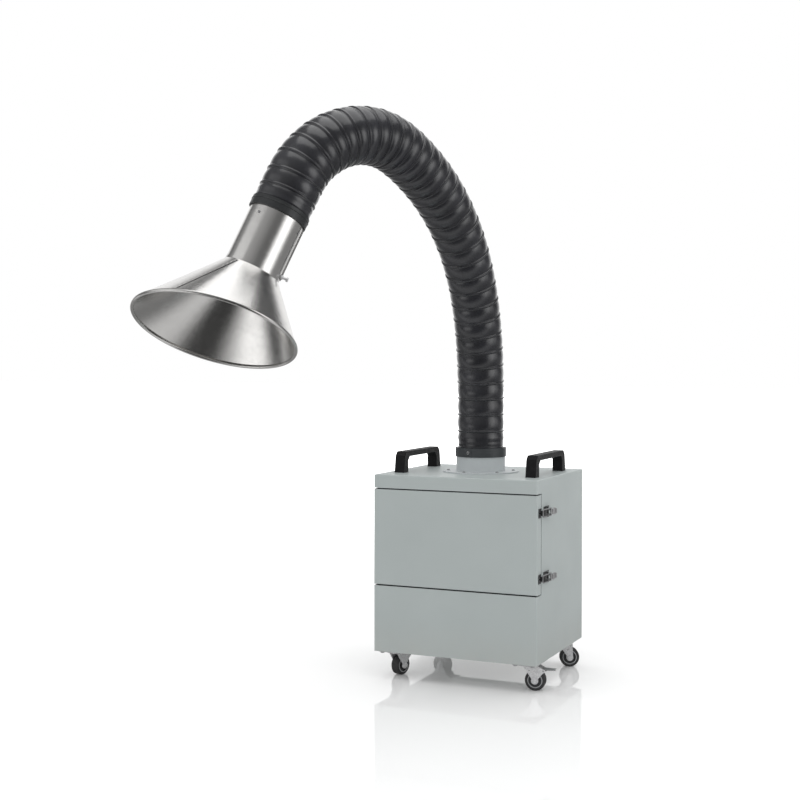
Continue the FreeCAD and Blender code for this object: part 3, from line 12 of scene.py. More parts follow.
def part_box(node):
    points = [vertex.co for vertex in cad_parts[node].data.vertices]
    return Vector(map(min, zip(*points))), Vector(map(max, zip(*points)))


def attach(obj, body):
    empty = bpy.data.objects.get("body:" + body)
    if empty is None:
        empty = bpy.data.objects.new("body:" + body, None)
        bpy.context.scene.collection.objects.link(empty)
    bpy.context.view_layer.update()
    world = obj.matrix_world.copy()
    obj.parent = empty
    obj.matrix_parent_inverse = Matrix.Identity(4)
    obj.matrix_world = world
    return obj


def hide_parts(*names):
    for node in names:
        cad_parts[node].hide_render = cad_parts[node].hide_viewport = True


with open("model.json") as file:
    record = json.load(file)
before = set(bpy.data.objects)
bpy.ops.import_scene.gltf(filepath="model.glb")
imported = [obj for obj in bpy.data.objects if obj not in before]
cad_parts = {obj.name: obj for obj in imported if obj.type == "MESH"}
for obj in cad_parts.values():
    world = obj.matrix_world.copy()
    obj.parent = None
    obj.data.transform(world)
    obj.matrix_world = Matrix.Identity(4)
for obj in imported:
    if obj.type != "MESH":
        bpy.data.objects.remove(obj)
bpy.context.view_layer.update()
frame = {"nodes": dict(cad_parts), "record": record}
NODES = frame["nodes"]
# Each joint's axis, by the body that turns on it
AXLES = {joint["child"]: Vector(joint["axis"]) for joint in frame["record"]["behaviour"]["joints"]}
RIGHT, BACK, UP = Vector((1, 0, 0)), Vector((0, 1, 0)), Vector((0, 0, 1))
CASTERS = ("front_left", "front_right", "rear_left", "rear_right")
LATCHES = ("upper", "lower")
MM = 0.001

# The hose's route, as on the part: a straight foot, two arcs that swing sideways, a straight end
HOSE_FOOT_RADIUS = 0.0580
HOSE_HEAD_RADIUS = 0.0648
HOSE_SWELL_START = 0.350
HOSE_SWELL_LENGTH = 0.700
HOSE_WALL = 0.0035
HOSE_FOOT_LENGTH = 0.079
HOSE_LOW_BEND = 0.729
HOSE_LOW_TURN = math.radians(62.6)
HOSE_HIGH_BEND = 0.213
HOSE_HIGH_TURN = math.radians(90.8)
HOSE_END_LENGTH = 0.078
HOSE_SWING = (math.radians(-18.3), math.radians(39.8))
HOSE_RING_DEPTH = 0.012
LOW_ARC = HOSE_LOW_BEND * HOSE_LOW_TURN
BOTH_ARCS = LOW_ARC + HOSE_HIGH_BEND * HOSE_HIGH_TURN
HOSE_LENGTH = HOSE_FOOT_LENGTH + BOTH_ARCS + HOSE_END_LENGTH
ROUTE_STEPS = 720
HOSE_SIDES = 80
BORE_STEPS = 60
# Ribs along the hose: the first one's place, and the pitch on the long limb, over the arch and by the hood
FIRST_RIB = 0.011
LIMB_PITCH = 0.0429
ARCH_PITCH = 0.0303
HEAD_PITCH = 0.0390
ARCH_TIGHTENS = (0.48, 0.94)
ARCH_LOOSENS = (1.04, 1.25)
# One rib's bead: distance from its middle and height over the skin, in millimetres
RIB_BEAD = ((-4.8, -0.5), (-3.5, -0.9), (-2.7, -0.2), (-2.0, 1.2), (-1.1, 2.1), (0.0, 2.3), (1.1, 2.1),
            (2.0, 1.2), (2.7, -0.2), (3.5, -0.9), (4.8, -0.5))
RIB_FOOT = 4.8
# The cloth between two beads: share of the way from one to the next, and height in millimetres
CLOTH_SWELL = ((0.12, 0.4), (0.26, 1.1), (0.42, 1.5), (0.58, 1.5), (0.74, 1.1), (0.88, 0.4))
# The hose's ends: its height under the rings, the length without beads and the length without slack
RING_SEAT = -0.2 * MM
BEADLESS_END = 0.030
TAUT_END = 0.040
# Slack of the cloth and its scale per metre, and the least distance between two rings of the skin
CLOTH_SLACK = 0.5 * MM
CLOTH_SLACK_SCALE = 26.0
CLOSEST_RINGS = 0.4 * MM

# The hood, from the hose's end
COLLAR_RADIUS = 0.0630
COLLAR_LENGTH = 0.1452
CONE_LENGTH = 0.1510
MOUTH_RADIUS = 0.1835
MOUTH_SIDEWAYS = -0.0107
MOUTH_FORWARD = 0.0156
MOUTH_LEAN = math.radians(14.9)
MOUTH_LEAN_TURN = math.radians(-16.8)
SHEET = 0.0013
SLIP = 0.0003
# Lapped seam down the cone, which starts and reaches by shares of the cone's length; its spot welds as
# (radius, height) points, and the dark strip at its edge, painted shade of the seam's fold
SEAM_TURN = math.radians(53.0)
SEAM_WIDTH = 0.011
SEAM_LIFT = 0.0007
SEAM_SINK = 0.0002
SEAM_START = 0.03
SEAM_REACH = 0.94
SEAM_STEPS = 14
SEAM_AHEAD = 0.01
SPOT_WELD = ((0.0026, 0.0), (0.0024, 0.0003), (0.0014, 0.0002), (0.0003, 0.0001))
SPOT_WELD_SIDES = 14
LAP_WIDTH = 0.0018
LAP_LIFT = 0.0003
# Folded seam along the collar: a flat flap with a standing fold at its edge
COLLAR_SEAM_TURN = math.radians(-72.0)
COLLAR_SEAM_START = 0.0135
COLLAR_SEAM_STOP = 0.0068
FLAP_WIDTH = 0.0085
FLAP_THICKNESS = 0.0011
FLAP_SIDEWAYS = 0.0035
FLAP_OUT = 0.0003
FOLD_WIDTH = 0.0016
FOLD_HEIGHT = 0.0034
FOLD_OUT = 0.0014
FOLD_EDGE = 0.0004
# Blind rivets round the collar, as (radius, height) points, and the raised line round the cuff
COLLAR_RIVET_TURNS = [math.radians(turn) for turn in (55.5, -45.0, 185.0)]
COLLAR_RIVET_BACK = 0.030
COLLAR_RIVET = ((0.0034, -0.0006), (0.0034, 0.0004), (0.0029, 0.0012), (0.0016, 0.0016), (0.0013, 0.0010),
                (0.0003, 0.0008))
COLLAR_RIVET_SIDES = 20
CUFF_BEAD_BACK = 0.0075
CUFF_BEAD_RADIUS = 0.0010
CUFF_BEAD_POINTS = 8
CUFF_BEAD_SIDES = 96

# Screw heads: the dome as shares of a head's radius and height, and its cross slot
SCREW_TURN_SEED = 7
PAN_HEAD = ((1.0, 0.0), (1.0, 0.35), (0.93, 0.62), (0.72, 0.86), (0.42, 0.98), (0.1, 1.0))
PAN_HEAD_SIDES = 24
CROSS_LEVEL = 0.9
CROSS_LENGTH = 1.15
CROSS_WIDTH = 0.24
CROSS_DEPTH = 0.22
# Screws, each head as its radius and height: duct flange, clamp at the hose's foot, exhaust grille
FLANGE_THICKNESS = 0.003
FLANGE_SCREW_COUNT = 6
FLANGE_SCREW_CIRCLE = 0.084
FLANGE_SCREW_START = math.radians(20)
FLANGE_SCREW = (0.0042, 0.0026)
CLAMP_TURN = math.radians(-98)
CLAMP_SINK = 0.0004
CLAMP_LUG = (0.016, 0.014, 0.003)
CLAMP_LUG_OUT = 0.001
CLAMP_LUG_EDGE = 0.0006
CLAMP_SCREW_OUT = 0.0024
CLAMP_SCREW = (0.0042, 0.0028)
GRILLE_THICKNESS = 0.002
GRILLE_SCREW_IN = 0.006
GRILLE_SCREW = (0.0032, 0.0020)

# Latches: rivets of the bases and keepers, pads under the keepers, thumb plates on the levers
LATCH_SHEET = 0.0015
BASE_RIVET = (0.0024, 0.0012)
BASE_RIVET_IN = 0.006
BASE_RIVET_SPREAD = 0.009
KEEPER_RIVET = (0.0018, 0.0010)
KEEPER_RIVET_IN = 0.0035
KEEPER_RIVET_SPREAD = 0.0033
KEEPER_PAD_THICKNESS = 0.0009
KEEPER_PAD_DEEPER = 0.003
KEEPER_PAD_TALLER = 0.011
KEEPER_PAD_FORWARD = 0.0012
KEEPER_PAD_EDGE = 0.0004
THUMB_START = 0.0165
THUMB_LENGTH = 0.020
THUMB_SINK = 0.0030
THUMB_HALF_ROOT = 0.0100
THUMB_CORNER = 0.0045
THUMB_CORNER_SIDE = 0.0035
THUMB_CORNER_STEPS = 4
# Layers of a thumb plate: how far each is drawn in and lifted
THUMB_LAYERS = ((0.0, 0.0), (0.0, 0.0006), (0.0007, 0.0012))

# Casters: bright rings and bolt heads, as (radius, height) points
WHEEL_HALF_WIDTH = 0.011
WHEEL_RING = ((0.0166, -0.0004), (0.0166, 0.0005), (0.0182, 0.0005), (0.0182, -0.0004))
WHEEL_RING_SIDES = 48
PLATE_THICKNESS = 0.0025
PLATE_BOLT = ((0.0055, 0.0), (0.0055, 0.0036), (0.0046, 0.0042))
PLATE_BOLT_SIDES = 6
PLATE_BOLT_IN = (0.009, 0.010)

# Black foam strips in the seams round the door, painted shade of the seams, and the seal on its back, with
# its section as shares of its width and height
DOOR_SEAM = 0.003
FOAM_THICKNESS = 0.0012
FOAM_SHORTER = 0.006
FOAM_SHALLOWER = 0.004
EDGE_FOAM_WIDTH = 0.0014
EDGE_FOAM_IN = 0.0012
SEAL_WIDTH = 0.010
SEAL_SECTION = ((0.0, 0.0), (0.0, 0.55), (0.14, 0.9), (0.5, 1.0), (0.86, 0.9), (1.0, 0.55), (1.0, 0.0))

# Filters: the fibre mat's grid, drawn-in edge and uneven crown, and the pull tabs
MAT_COLUMNS = 44
MAT_ROWS = 36
MAT_INSET = 0.0018
MAT_EDGE_STEEPNESS = 14
MAT_EDGE_HEIGHT = 0.55
MAT_EDGE_ROUNDING = 0.8
MAT_SINK = 0.002
MAT_RIPPLE = 0.0016
MAT_RIPPLE_SCALE = (9, 8)
MAT_RIPPLE_LAYER = 3.0
TAB_STEPS = 12
TAB_HALF_LENGTH = 0.045
TAB_HALF_WIDTH = 0.009
TAB_THICKNESS = 0.001
TAB_BOW = 0.0075

# Marks of the speed dial
POINTER = (0.0016, 0.0008, 0.010)
POINTER_OUT = 0.008
TICK = (0.004, 0.0004, 0.0011)
TICK_COUNT = 11
TICK_START = math.radians(-135)
TICK_STEP = math.radians(27)
TICK_CIRCLE = 0.0205

# Floor: its white, its polish, and how far from the middle the camera sees it brighten, between which levels
FLOOR_SIZE = 60
FLOOR_WHITE = 0.85
FLOOR_ROUGHNESS = 0.04
FLOOR_IOR = 1.5
FLOOR_NEAR_GLOW = ((0.5, 1.9), (0.04, 0.15))
FLOOR_FAR_GLOW = ((1.5, 3.5), (0.0, 1.0))
# The floor as polished steel mirrors it, a painted reflection that glows only to reflections: a pale band's
# front and back fades in depth, and a low card's fade
BAND_FRONT = ((-1.05, -0.80), (0.04, 0.60))
BAND_BACK = ((-0.52, -0.22), (1.0, 0.35))
LOW_CARD = (-1.5, -2.15, 0.0)
LOW_CARD_SQUEEZE = (0.75, 1.0, 0.0)
LOW_CARD_FADE = ((0.40, 1.10), (1.3, 0.0))
# World: its light, and the dark studio and pale cards that only reflections see
WORLD_LIGHT = 1.03
STUDIO_DARK = 0.14
# Cards: direction, cosines where each starts and is full, level
REFLECTED_CARDS = (((-0.358, 0.934, 0.0), (0.62, 0.80), 0.86), ((0.997, 0.035, -0.05), (0.86, 0.97), 0.90),
                   ((-0.434, -0.695, 0.574), (0.40, 0.95), 0.22))
# Lamps: name, place, target, width and height, power
SOFTBOXES = (("left_softbox", (-2.1, -2.5, 1.9), (0, -0.2, 0.9), (2.6, 2.6), 8),
             ("right_softbox", (3.0, -0.75, 1.0), (0, -0.2, 0.9), (1.8, 2.2), 11),
             ("top_softbox", (0.25, -0.43, 3.4), (0.25, -0.43, 0.6), (2.7, 2.95), 32))
# Camera: the photograph's station, heading, dip and lens
CAMERA_PLACE = (1.2483, -3.2710, 0.8201)
CAMERA_HEADING = math.radians(24.32)
CAMERA_DIP = math.radians(1.88)
CAMERA_LENS = 60.75
CAMERA_SENSOR = 36.0
CAMERA_REACH = 200

# The part of a noise's range that most of a surface falls in
NOISE_SPAN = (0.3, 0.7)
# Nodes whose finish differs from the rest of their slot, by the start of their names
OWN_LOOKS = {"caster_fork": "caster_zinc", "damper_spindle": "caster_zinc", "hood_cuff": "cuff_nylon"}


class Value:
    """One socket of a finish's node tree; arithmetic on it adds Math nodes."""

    def __init__(self, finish, socket):
        self.finish = finish
        self.socket = socket

    def maths(self, operation, first, second):
        """A Math node on two values."""
        return self.finish.add("ShaderNodeMath", {"operation": operation}, {0: first, 1: second})["Value"]

    def __add__(self, other):
        return self.maths("ADD", self, other)

    __radd__ = __add__

    def __mul__(self, other):
        return self.maths("MULTIPLY", self, other)

    def __rsub__(self, other):
        return self.maths("SUBTRACT", other, self)

    def at_least(self, other):
        """The larger of two values."""
        return self.maths("MAXIMUM", self, other)


class Finish:
    """A procedural surface: a material, or the world, whose nodes are made by one method."""

    def __init__(self, owner):
        owner.use_nodes = True
        self.owner = owner
        self.tree = owner.node_tree
        self.tree.nodes.clear()

    def add(self, kind, settings=None, sockets=None):
        """A node of a kind with its settings, then its sockets' values or links; gives its outputs."""
        node = self.tree.nodes.new(kind)
        for key, setting in (settings or {}).items():
            setattr(node, key, setting)
        for key, given in (sockets or {}).items():
            if isinstance(given, Value):
                self.tree.links.new(given.socket, node.inputs[key])
            else:
                node.inputs[key].default_value = given
        return {out.name: Value(self, out) for out in node.outputs if out.enabled}

    def place(self):
        """Where a point lies on its own piece."""
        return self.add("ShaderNodeTexCoord")["Object"]

    def part(self, vector, axis):
        """One of a vector's three numbers."""
        return self.add("ShaderNodeSeparateXYZ", {}, {"Vector": vector})[axis]

    def vectors(self, operation, first, second=(0, 0, 0)):
        """Arithmetic on vectors, which gives a number for a length or a dot product."""
        out = "Value" if operation in ("LENGTH", "DOT_PRODUCT") else "Vector"
        return self.add("ShaderNodeVectorMath", {"operation": operation}, {0: first, 1: second})[out]

    def noise(self, scale, detail=3.0, roughness=0.55, place=None, stretch=(1, 1, 1)):
        """Cloudy variation, with its scale per metre, stretched along an axis where asked."""
        stretched = {"Vector": place or self.place(), "Scale": stretch}
        spot = self.add("ShaderNodeMapping", {}, stretched)["Vector"]
        sockets = {"Vector": spot, "Scale": scale, "Detail": detail, "Roughness": roughness}
        return self.add("ShaderNodeTexNoise", {}, sockets)["Fac"]

    def cells(self, scale):
        """Distance to scattered points, for grains and spangles."""
        return self.add("ShaderNodeTexVoronoi", {}, {"Vector": self.place(), "Scale": scale})["Distance"]

    def spread(self, value, span, to=(0.0, 1.0)):
        """A value's span moved to another one, held at its ends."""
        sockets = {"Value": value, "From Min": span[0], "From Max": span[1], "To Min": to[0], "To Max": to[1]}
        return self.add("ShaderNodeMapRange", {"clamp": True}, sockets)["Result"]

    def blend(self, share, first, second):
        """Two colours mixed by a share."""
        sockets = {0: share, 6: colour4(first), 7: colour4(second)}
        return self.add("ShaderNodeMix", {"data_type": "RGBA"}, sockets)["Result"]

    def bump(self, height, strength, depth):
        """A surface normal shaken by a height, whose full depth is in metres."""
        sockets = {"Height": height, "Strength": strength, "Distance": depth}
        return self.add("ShaderNodeBump", {}, sockets)["Normal"]

    def surface(self, **sockets):
        """The finish's own shader, with sockets named in plain words."""
        names = {key.replace("_", " ").title().replace("Ior", "IOR"): given for key, given in sockets.items()}
        shader = self.add("ShaderNodeBsdfPrincipled", {}, names)["BSDF"]
        self.add("ShaderNodeOutputMaterial", {}, {"Surface": shader})
        return self.owner


def colour4(colour):
    """A colour with its alpha, unless it is a socket."""
    return colour if isinstance(colour, Value) else (*colour, 1)


def darker(colour, share):
    """A colour taken down to a share of itself."""
    return tuple(c * share for c in colour)


def new_finish(name):
    """An empty named material to fill."""
    return Finish(bpy.data.materials.new(name))


# Finishes

def powder_coat(name, colour, shade):
    """Sprayed powder coat: fine orange peel, faint clouding, a trace of dust low down."""
    f = new_finish(name)
    cloud = f.noise(5.0, 4.0)
    speck = f.noise(900.0, 2.0)
    peel = f.noise(420.0, 2.0)
    dust_colour = (0.42, 0.40, 0.36)
    low_down = f.spread(f.part(f.place(), "Z"), (0.07, 0.16), (0.35, 0.0))
    dust = low_down * f.noise(28.0, 5.0)
    tint = f.blend(f.spread(cloud, (0.35, 0.7)), colour, shade)
    tint = f.blend(f.spread(speck, (0.55, 0.8), (0.0, 0.12)), tint, darker(colour, 0.8))
    tint = f.blend(dust, tint, dust_colour)
    return f.surface(base_color=tint, roughness=f.spread(cloud, NOISE_SPAN, (0.40, 0.50)),
                     normal=f.bump(peel, strength=0.25, depth=0.0004), coat_weight=0.12, coat_roughness=0.3)


def black_grain():
    """Black moulded nylon with a fine spark-eroded grain and paler rubbed patches."""
    f = new_finish("black_grained_nylon")
    grain = f.cells(1500.0)
    rub = f.noise(60.0, 5.0)
    black, rubbed = (0.006, 0.006, 0.007), (0.012, 0.012, 0.013)
    tint = f.blend(f.spread(rub, (0.45, 0.75)), black, rubbed)
    return f.surface(base_color=tint, roughness=f.spread(rub, NOISE_SPAN, (0.42, 0.55)),
                     specular_ior_level=0.22, normal=f.bump(grain, strength=0.35, depth=0.0004))


def hose_cloth():
    """Coated cloth of the hose: semi-gloss charcoal with a weave under the coating and soft creases."""
    f = new_finish("coated_hose_cloth")
    weave = f.noise(1400.0, 2.0)
    crease = f.noise(34.0, 3.0, 0.5)
    haze = f.noise(14.0, 4.0)
    charcoal, hazy = (0.0100, 0.0103, 0.0140), (0.0175, 0.0180, 0.0235)
    tint = f.blend(f.spread(haze, (0.35, 0.7)), charcoal, hazy)
    relief = weave * 0.1 + crease
    return f.surface(base_color=tint, roughness=f.spread(crease, NOISE_SPAN, (0.30, 0.40)),
                     normal=f.bump(relief, strength=0.22, depth=0.0016), coat_weight=0.85, coat_roughness=0.2)


def ring_nylon(name, colour, shade):
    """Moulded rings that clamp the hose."""
    f = new_finish(name)
    cloud = f.noise(35.0, 4.0)
    grain = f.noise(900.0, 2.0)
    return f.surface(base_color=f.blend(cloud, colour, shade),
                     roughness=f.spread(cloud, NOISE_SPAN, (0.34, 0.46)),
                     normal=f.bump(grain, strength=0.2, depth=0.0003))


def brushed_sheet(name, axis_point, axis, colour, shade):
    """Stainless sheet brushed round an axis: fine rings of scratches, and broad dull and bright patches of
    painted sheen.
    """
    f = new_finish(name)
    along = f.vectors("DOT_PRODUCT", f.vectors("SUBTRACT", f.place(), tuple(axis_point)), tuple(axis))
    line = f.add("ShaderNodeCombineXYZ", {}, {"X": along})["Vector"]
    scratch = f.noise(2600.0, 3.0, 0.7, place=line)
    # Broad patches where the steel's colour is painted brighter and duller: painted sheen in place of
    # reflected sweeps
    painted_sheen = f.noise(6.0, 3.0, 0.5)
    smear = f.noise(70.0, 4.0)
    tint = f.blend(f.spread(painted_sheen, (0.35, 0.68)), colour, shade)
    tint = f.blend(f.spread(scratch, (0.35, 0.75), (0.0, 0.35)), tint, darker(colour, 0.8))
    rough = f.spread(smear, NOISE_SPAN, (0.13, 0.19)) + f.spread(scratch, NOISE_SPAN, (0.0, 0.05))
    return f.surface(base_color=tint, metallic=1.0, roughness=rough,
                     normal=f.bump(scratch, strength=0.35, depth=0.0003))


def zinc_plate(name, colour, metal=1.0):
    """Bright zinc plate with a faint spangle and handling marks; a chalky one is less of a mirror."""
    f = new_finish(name)
    spangle = f.cells(260.0)
    marks = f.noise(90.0, 5.0)
    tint = f.blend(f.spread(spangle, (0.1, 0.7)), colour, darker(colour, 0.78))
    return f.surface(base_color=tint, metallic=metal, roughness=f.spread(marks, NOISE_SPAN, (0.26, 0.42)),
                     normal=f.bump(marks, strength=0.1, depth=0.0003))


def tread_rubber():
    """Black tread, dusty where it rolls."""
    f = new_finish("black_tread_rubber")
    dust = f.noise(120.0, 5.0)
    black, dusty = (0.030, 0.030, 0.031), (0.070, 0.068, 0.065)
    tint = f.blend(f.spread(dust, (0.5, 0.8), (0.0, 0.7)), black, dusty)
    return f.surface(base_color=tint, roughness=f.spread(dust, NOISE_SPAN, (0.55, 0.75)),
                     normal=f.bump(dust, strength=0.2, depth=0.0005))


def moulded(name, colour, roughness):
    """Plain moulded plastic with flow clouding, between two roughnesses, and a fine grain."""
    f = new_finish(name)
    cloud = f.noise(45.0, 4.0)
    grain = f.noise(1300.0, 2.0)
    tint = f.blend(f.spread(cloud, (0.35, 0.7)), colour, darker(colour, 0.82))
    return f.surface(base_color=tint, roughness=f.spread(cloud, NOISE_SPAN, roughness),
                     normal=f.bump(grain, strength=0.2, depth=0.0003))


def foam():
    """Closed-cell foam strip."""
    f = new_finish("black_cell_foam")
    pores = f.cells(900.0)
    tint = f.blend(f.spread(pores, (0.2, 0.8)), (0.012, 0.012, 0.012), (0.035, 0.035, 0.035))
    return f.surface(base_color=tint, roughness=0.85, normal=f.bump(pores, strength=0.6, depth=0.0008))


def fibre_mat():
    """Coarse white fibre mat, sooty in patches."""
    f = new_finish("white_fibre_mat")
    strands = f.noise(480.0, 5.0, 0.7)
    soot = f.noise(16.0, 5.0)
    white, shaded, sooty = (0.70, 0.72, 0.73), (0.50, 0.52, 0.53), (0.22, 0.21, 0.20)
    tint = f.blend(f.spread(strands, (0.4, 0.7)), white, shaded)
    tint = f.blend(f.spread(soot, (0.5, 0.8), (0.0, 0.4)), tint, sooty)
    return f.surface(base_color=tint, roughness=0.9, normal=f.bump(strands, strength=0.8, depth=0.002))


def pleat_paper():
    """Glass-fibre paper of the main filter."""
    f = new_finish("pleated_paper")
    pulp = f.noise(700.0, 4.0)
    tint = f.blend(f.spread(pulp, (0.35, 0.7)), (0.80, 0.79, 0.74), (0.66, 0.65, 0.60))
    return f.surface(base_color=tint, roughness=0.85, normal=f.bump(pulp, strength=0.3, depth=0.0006))


def board():
    """Raw board of the filter's frame, with a wood grain."""
    f = new_finish("raw_board")
    grain = f.noise(40.0, 5.0, 0.6, stretch=(1, 1, 14))
    tint = f.blend(f.spread(grain, NOISE_SPAN), (0.46, 0.32, 0.18), (0.60, 0.45, 0.28))
    return f.surface(base_color=tint, roughness=0.7, normal=f.bump(grain, strength=0.3, depth=0.0008))


def granules():
    """Tray of black carbon granules."""
    f = new_finish("carbon_granules")
    grain = f.cells(260.0)
    tint = f.blend(f.spread(grain, (0.1, 0.7)), (0.006, 0.006, 0.006), (0.04, 0.04, 0.042))
    return f.surface(base_color=tint, roughness=0.7, normal=f.bump(grain, strength=0.9, depth=0.003))


def casting():
    """Painted iron casting."""
    f = new_finish("painted_casting")
    pits = f.noise(220.0, 5.0)
    tint = f.blend(f.spread(pits, (0.4, 0.7)), (0.05, 0.06, 0.07), (0.09, 0.10, 0.11))
    return f.surface(base_color=tint, roughness=0.5, normal=f.bump(pits, strength=0.4, depth=0.001))


def mark_paint(name, colour):
    """Printed mark, a little worn."""
    f = new_finish(name)
    wear = f.spread(f.noise(300.0, 4.0), (0.5, 0.8))
    return f.surface(base_color=f.blend(wear, colour, darker(colour, 0.8)), roughness=0.5)


# Route of the arm

def hose_directions(distance):
    """Tangent and sideways direction of the hose at a distance from its foot."""
    along = min(max(distance - HOSE_FOOT_LENGTH, 0.0), BOTH_ARCS)
    lean = along / HOSE_LOW_BEND
    if along > LOW_ARC:
        lean = HOSE_LOW_TURN + (along - LOW_ARC) / HOSE_HIGH_BEND
    swing = HOSE_SWING[0] + (HOSE_SWING[1] - HOSE_SWING[0]) * along / BOTH_ARCS
    tangent = Vector((-math.sin(swing) * math.sin(lean), -math.cos(swing) * math.sin(lean), math.cos(lean)))
    return tangent, Vector((math.cos(swing), -math.sin(swing), 0))


def hose_route():
    """Points along the hose's middle, from its foot to the hood."""
    step = HOSE_LENGTH / ROUTE_STEPS
    points = [Vector((0, 0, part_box("arm_hose")[0][2]))]
    for i in range(ROUTE_STEPS):
        points.append(points[-1] + hose_directions((i + 0.5) * step)[0] * step)
    return points


ROUTE = hose_route()


def route_at(distance):
    """Middle of the hose at a distance from its foot."""
    spot = min(max(distance / HOSE_LENGTH, 0.0), 1.0) * ROUTE_STEPS
    index = min(int(spot), ROUTE_STEPS - 1)
    return ROUTE[index].lerp(ROUTE[index + 1], spot - index)


def smooth_share(spot, start, end):
    """How far a spot lies between two others, from 0 to 1 with soft ends."""
    share = min(max((spot - start) / (end - start), 0.0), 1.0)
    return share * share * (3 - 2 * share)


def rib_spots():
    """Middles of the ribs: even on the long limb, drawn together over the arch, wider again near the hood."""
    spots = [FIRST_RIB]
    while spots[-1] < HOSE_LENGTH - HOSE_RING_DEPTH:
        tight = smooth_share(spots[-1], *ARCH_TIGHTENS)
        loose = smooth_share(spots[-1], *ARCH_LOOSENS)
        pitch = LIMB_PITCH + (ARCH_PITCH - LIMB_PITCH) * tight + (HEAD_PITCH - ARCH_PITCH) * loose
        spots.append(spots[-1] + pitch)
    return spots


def hose_radius(distance):
    """Radius of the hose's skin, which grows smoothly from the foot to the hood."""
    share = smooth_share(distance, HOSE_SWELL_START, HOSE_SWELL_START + HOSE_SWELL_LENGTH)
    return HOSE_FOOT_RADIUS + (HOSE_HEAD_RADIUS - HOSE_FOOT_RADIUS) * share


HOOD_START = ROUTE[-1]
HOOD_AXIS, HOOD_SIDE = hose_directions(HOSE_LENGTH)
HOOD_FACE = HOOD_AXIS.cross(HOOD_SIDE)
COLLAR_END = HOOD_START + HOOD_AXIS * (SLIP + COLLAR_LENGTH)
MOUTH_SHIFT = HOOD_SIDE * MOUTH_SIDEWAYS + HOOD_FACE * MOUTH_FORWARD
MOUTH_CENTRE = COLLAR_END + HOOD_AXIS * CONE_LENGTH + MOUTH_SHIFT


def round_hood(turn):
    """Direction square to the collar at a turn from the arm's side."""
    return HOOD_SIDE * math.cos(turn) + HOOD_FACE * math.sin(turn)


MOUTH_NORMAL = HOOD_AXIS * math.cos(MOUTH_LEAN) + round_hood(MOUTH_LEAN_TURN) * math.sin(MOUTH_LEAN)


# Mesh helpers

def new_piece(name, verts, faces, body, slot, look=None, smooth=True):
    """A mesh object that rides a body, in a slot, with that slot's finish unless another is named."""
    mesh = bpy.data.meshes.new(name)
    mesh.from_pydata([tuple(v) for v in verts], [], faces)
    mesh.update()
    for polygon in mesh.polygons:
        polygon.use_smooth = smooth
    piece = bpy.data.objects.new(name, mesh)
    bpy.context.scene.collection.objects.link(piece)
    piece.data.materials.append(LOOKS[look or slot])
    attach(piece, body)
    return piece


def node_box(node):
    """Low and high corners of a CAD node's box."""
    return [Vector(corner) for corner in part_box(node)]


def square_to(direction):
    """Two unit directions square to a direction and to each other."""
    first = direction.orthogonal().normalized()
    return first, direction.cross(first)


def ring_points(centre, first, second, radius, count):
    """Points of a circle spanned by two directions."""
    points = []
    for i in range(count):
        turn = math.tau * i / count
        points.append(centre + first * (radius * math.cos(turn)) + second * (radius * math.sin(turn)))
    return points


def skin_rings(rings, closed):
    """Vertices and quads through rings of equal count; closed joins the last ring to the first."""
    count = len(rings[0])
    verts = [v for ring in rings for v in ring]
    faces = []
    last = len(rings) if closed else len(rings) - 1
    for r in range(last):
        a, b = r * count, (r + 1) % len(rings) * count
        for i in range(count):
            j = (i + 1) % count
            faces.append((a + i, a + j, b + j, b + i))
    return verts, faces


def capped_rings(rings):
    """Vertices and faces of a solid through rings, with a flat cap on the first and the last."""
    verts, faces = skin_rings(rings, False)
    count = len(rings[0])
    start = len(verts) - count
    faces += [tuple(range(count))[::-1], tuple(start + i for i in range(count))]
    return verts, faces


def lathe(profile, place, direction, sides):
    """A turned solid from (radius, height) points, capped at both ends."""
    first, second = square_to(direction)
    return capped_rings([ring_points(place + direction * h, first, second, r, sides) for r, h in profile])


def join_parts(parts):
    """One list of vertices and faces from several."""
    verts, faces = [], []
    for part_verts, part_faces in parts:
        start = len(verts)
        verts += part_verts
        faces += [tuple(start + i for i in face) for face in part_faces]
    return verts, faces


def block(centre, size, x_dir=RIGHT, y_dir=BACK, z_dir=UP):
    """A box by its centre, sizes and directions."""
    verts = []
    for x in (-size[0] / 2, size[0] / 2):
        for y in (-size[1] / 2, size[1] / 2):
            for z in (-size[2] / 2, size[2] / 2):
                verts.append(centre + x_dir * x + y_dir * y + z_dir * z)
    faces = [(0, 1, 3, 2), (4, 6, 7, 5), (0, 4, 5, 1), (2, 3, 7, 6), (0, 2, 6, 4), (1, 5, 7, 3)]
    return verts, faces


def soften(piece, width):
    """Round a piece's edges a little."""
    bevel = piece.modifiers.new("edges", "BEVEL")
    bevel.width = width
    bevel.segments = 3
    bevel.limit_method = "ANGLE"


def pan_head(place, direction, radius, height):
    """The dome of a screw or rivet head."""
    profile = [(radius * wide, height * high) for wide, high in PAN_HEAD]
    return lathe(profile, place, direction, PAN_HEAD_SIDES)


def cross_slot(place, direction, radius, height, turn):
    """The two dark bars of the cross in a screw head."""
    first, second = square_to(direction)
    a = first * math.cos(turn) + second * math.sin(turn)
    b = direction.cross(a)
    top = place + direction * (height * CROSS_LEVEL)
    size = (radius * CROSS_LENGTH, radius * CROSS_WIDTH, height * CROSS_DEPTH)
    return [block(top, size, a, b, direction), block(top, size, b, a, direction)]


def screws(name, places, head, body):
    """A set of cross-head screws as one piece, with their dark slots as another."""
    heads, slots = [], []
    for place, direction in places:
        turn = random.uniform(0, math.pi)
        heads.append(pan_head(place, direction, *head))
        slots += cross_slot(place, direction, *head, turn)
    new_piece(name, *join_parts(heads), body, "zinc_steel")
    new_piece(name + "_slots", *join_parts(slots), body, "zinc_steel", look="slot_shadow", smooth=False)


# Arm and hood

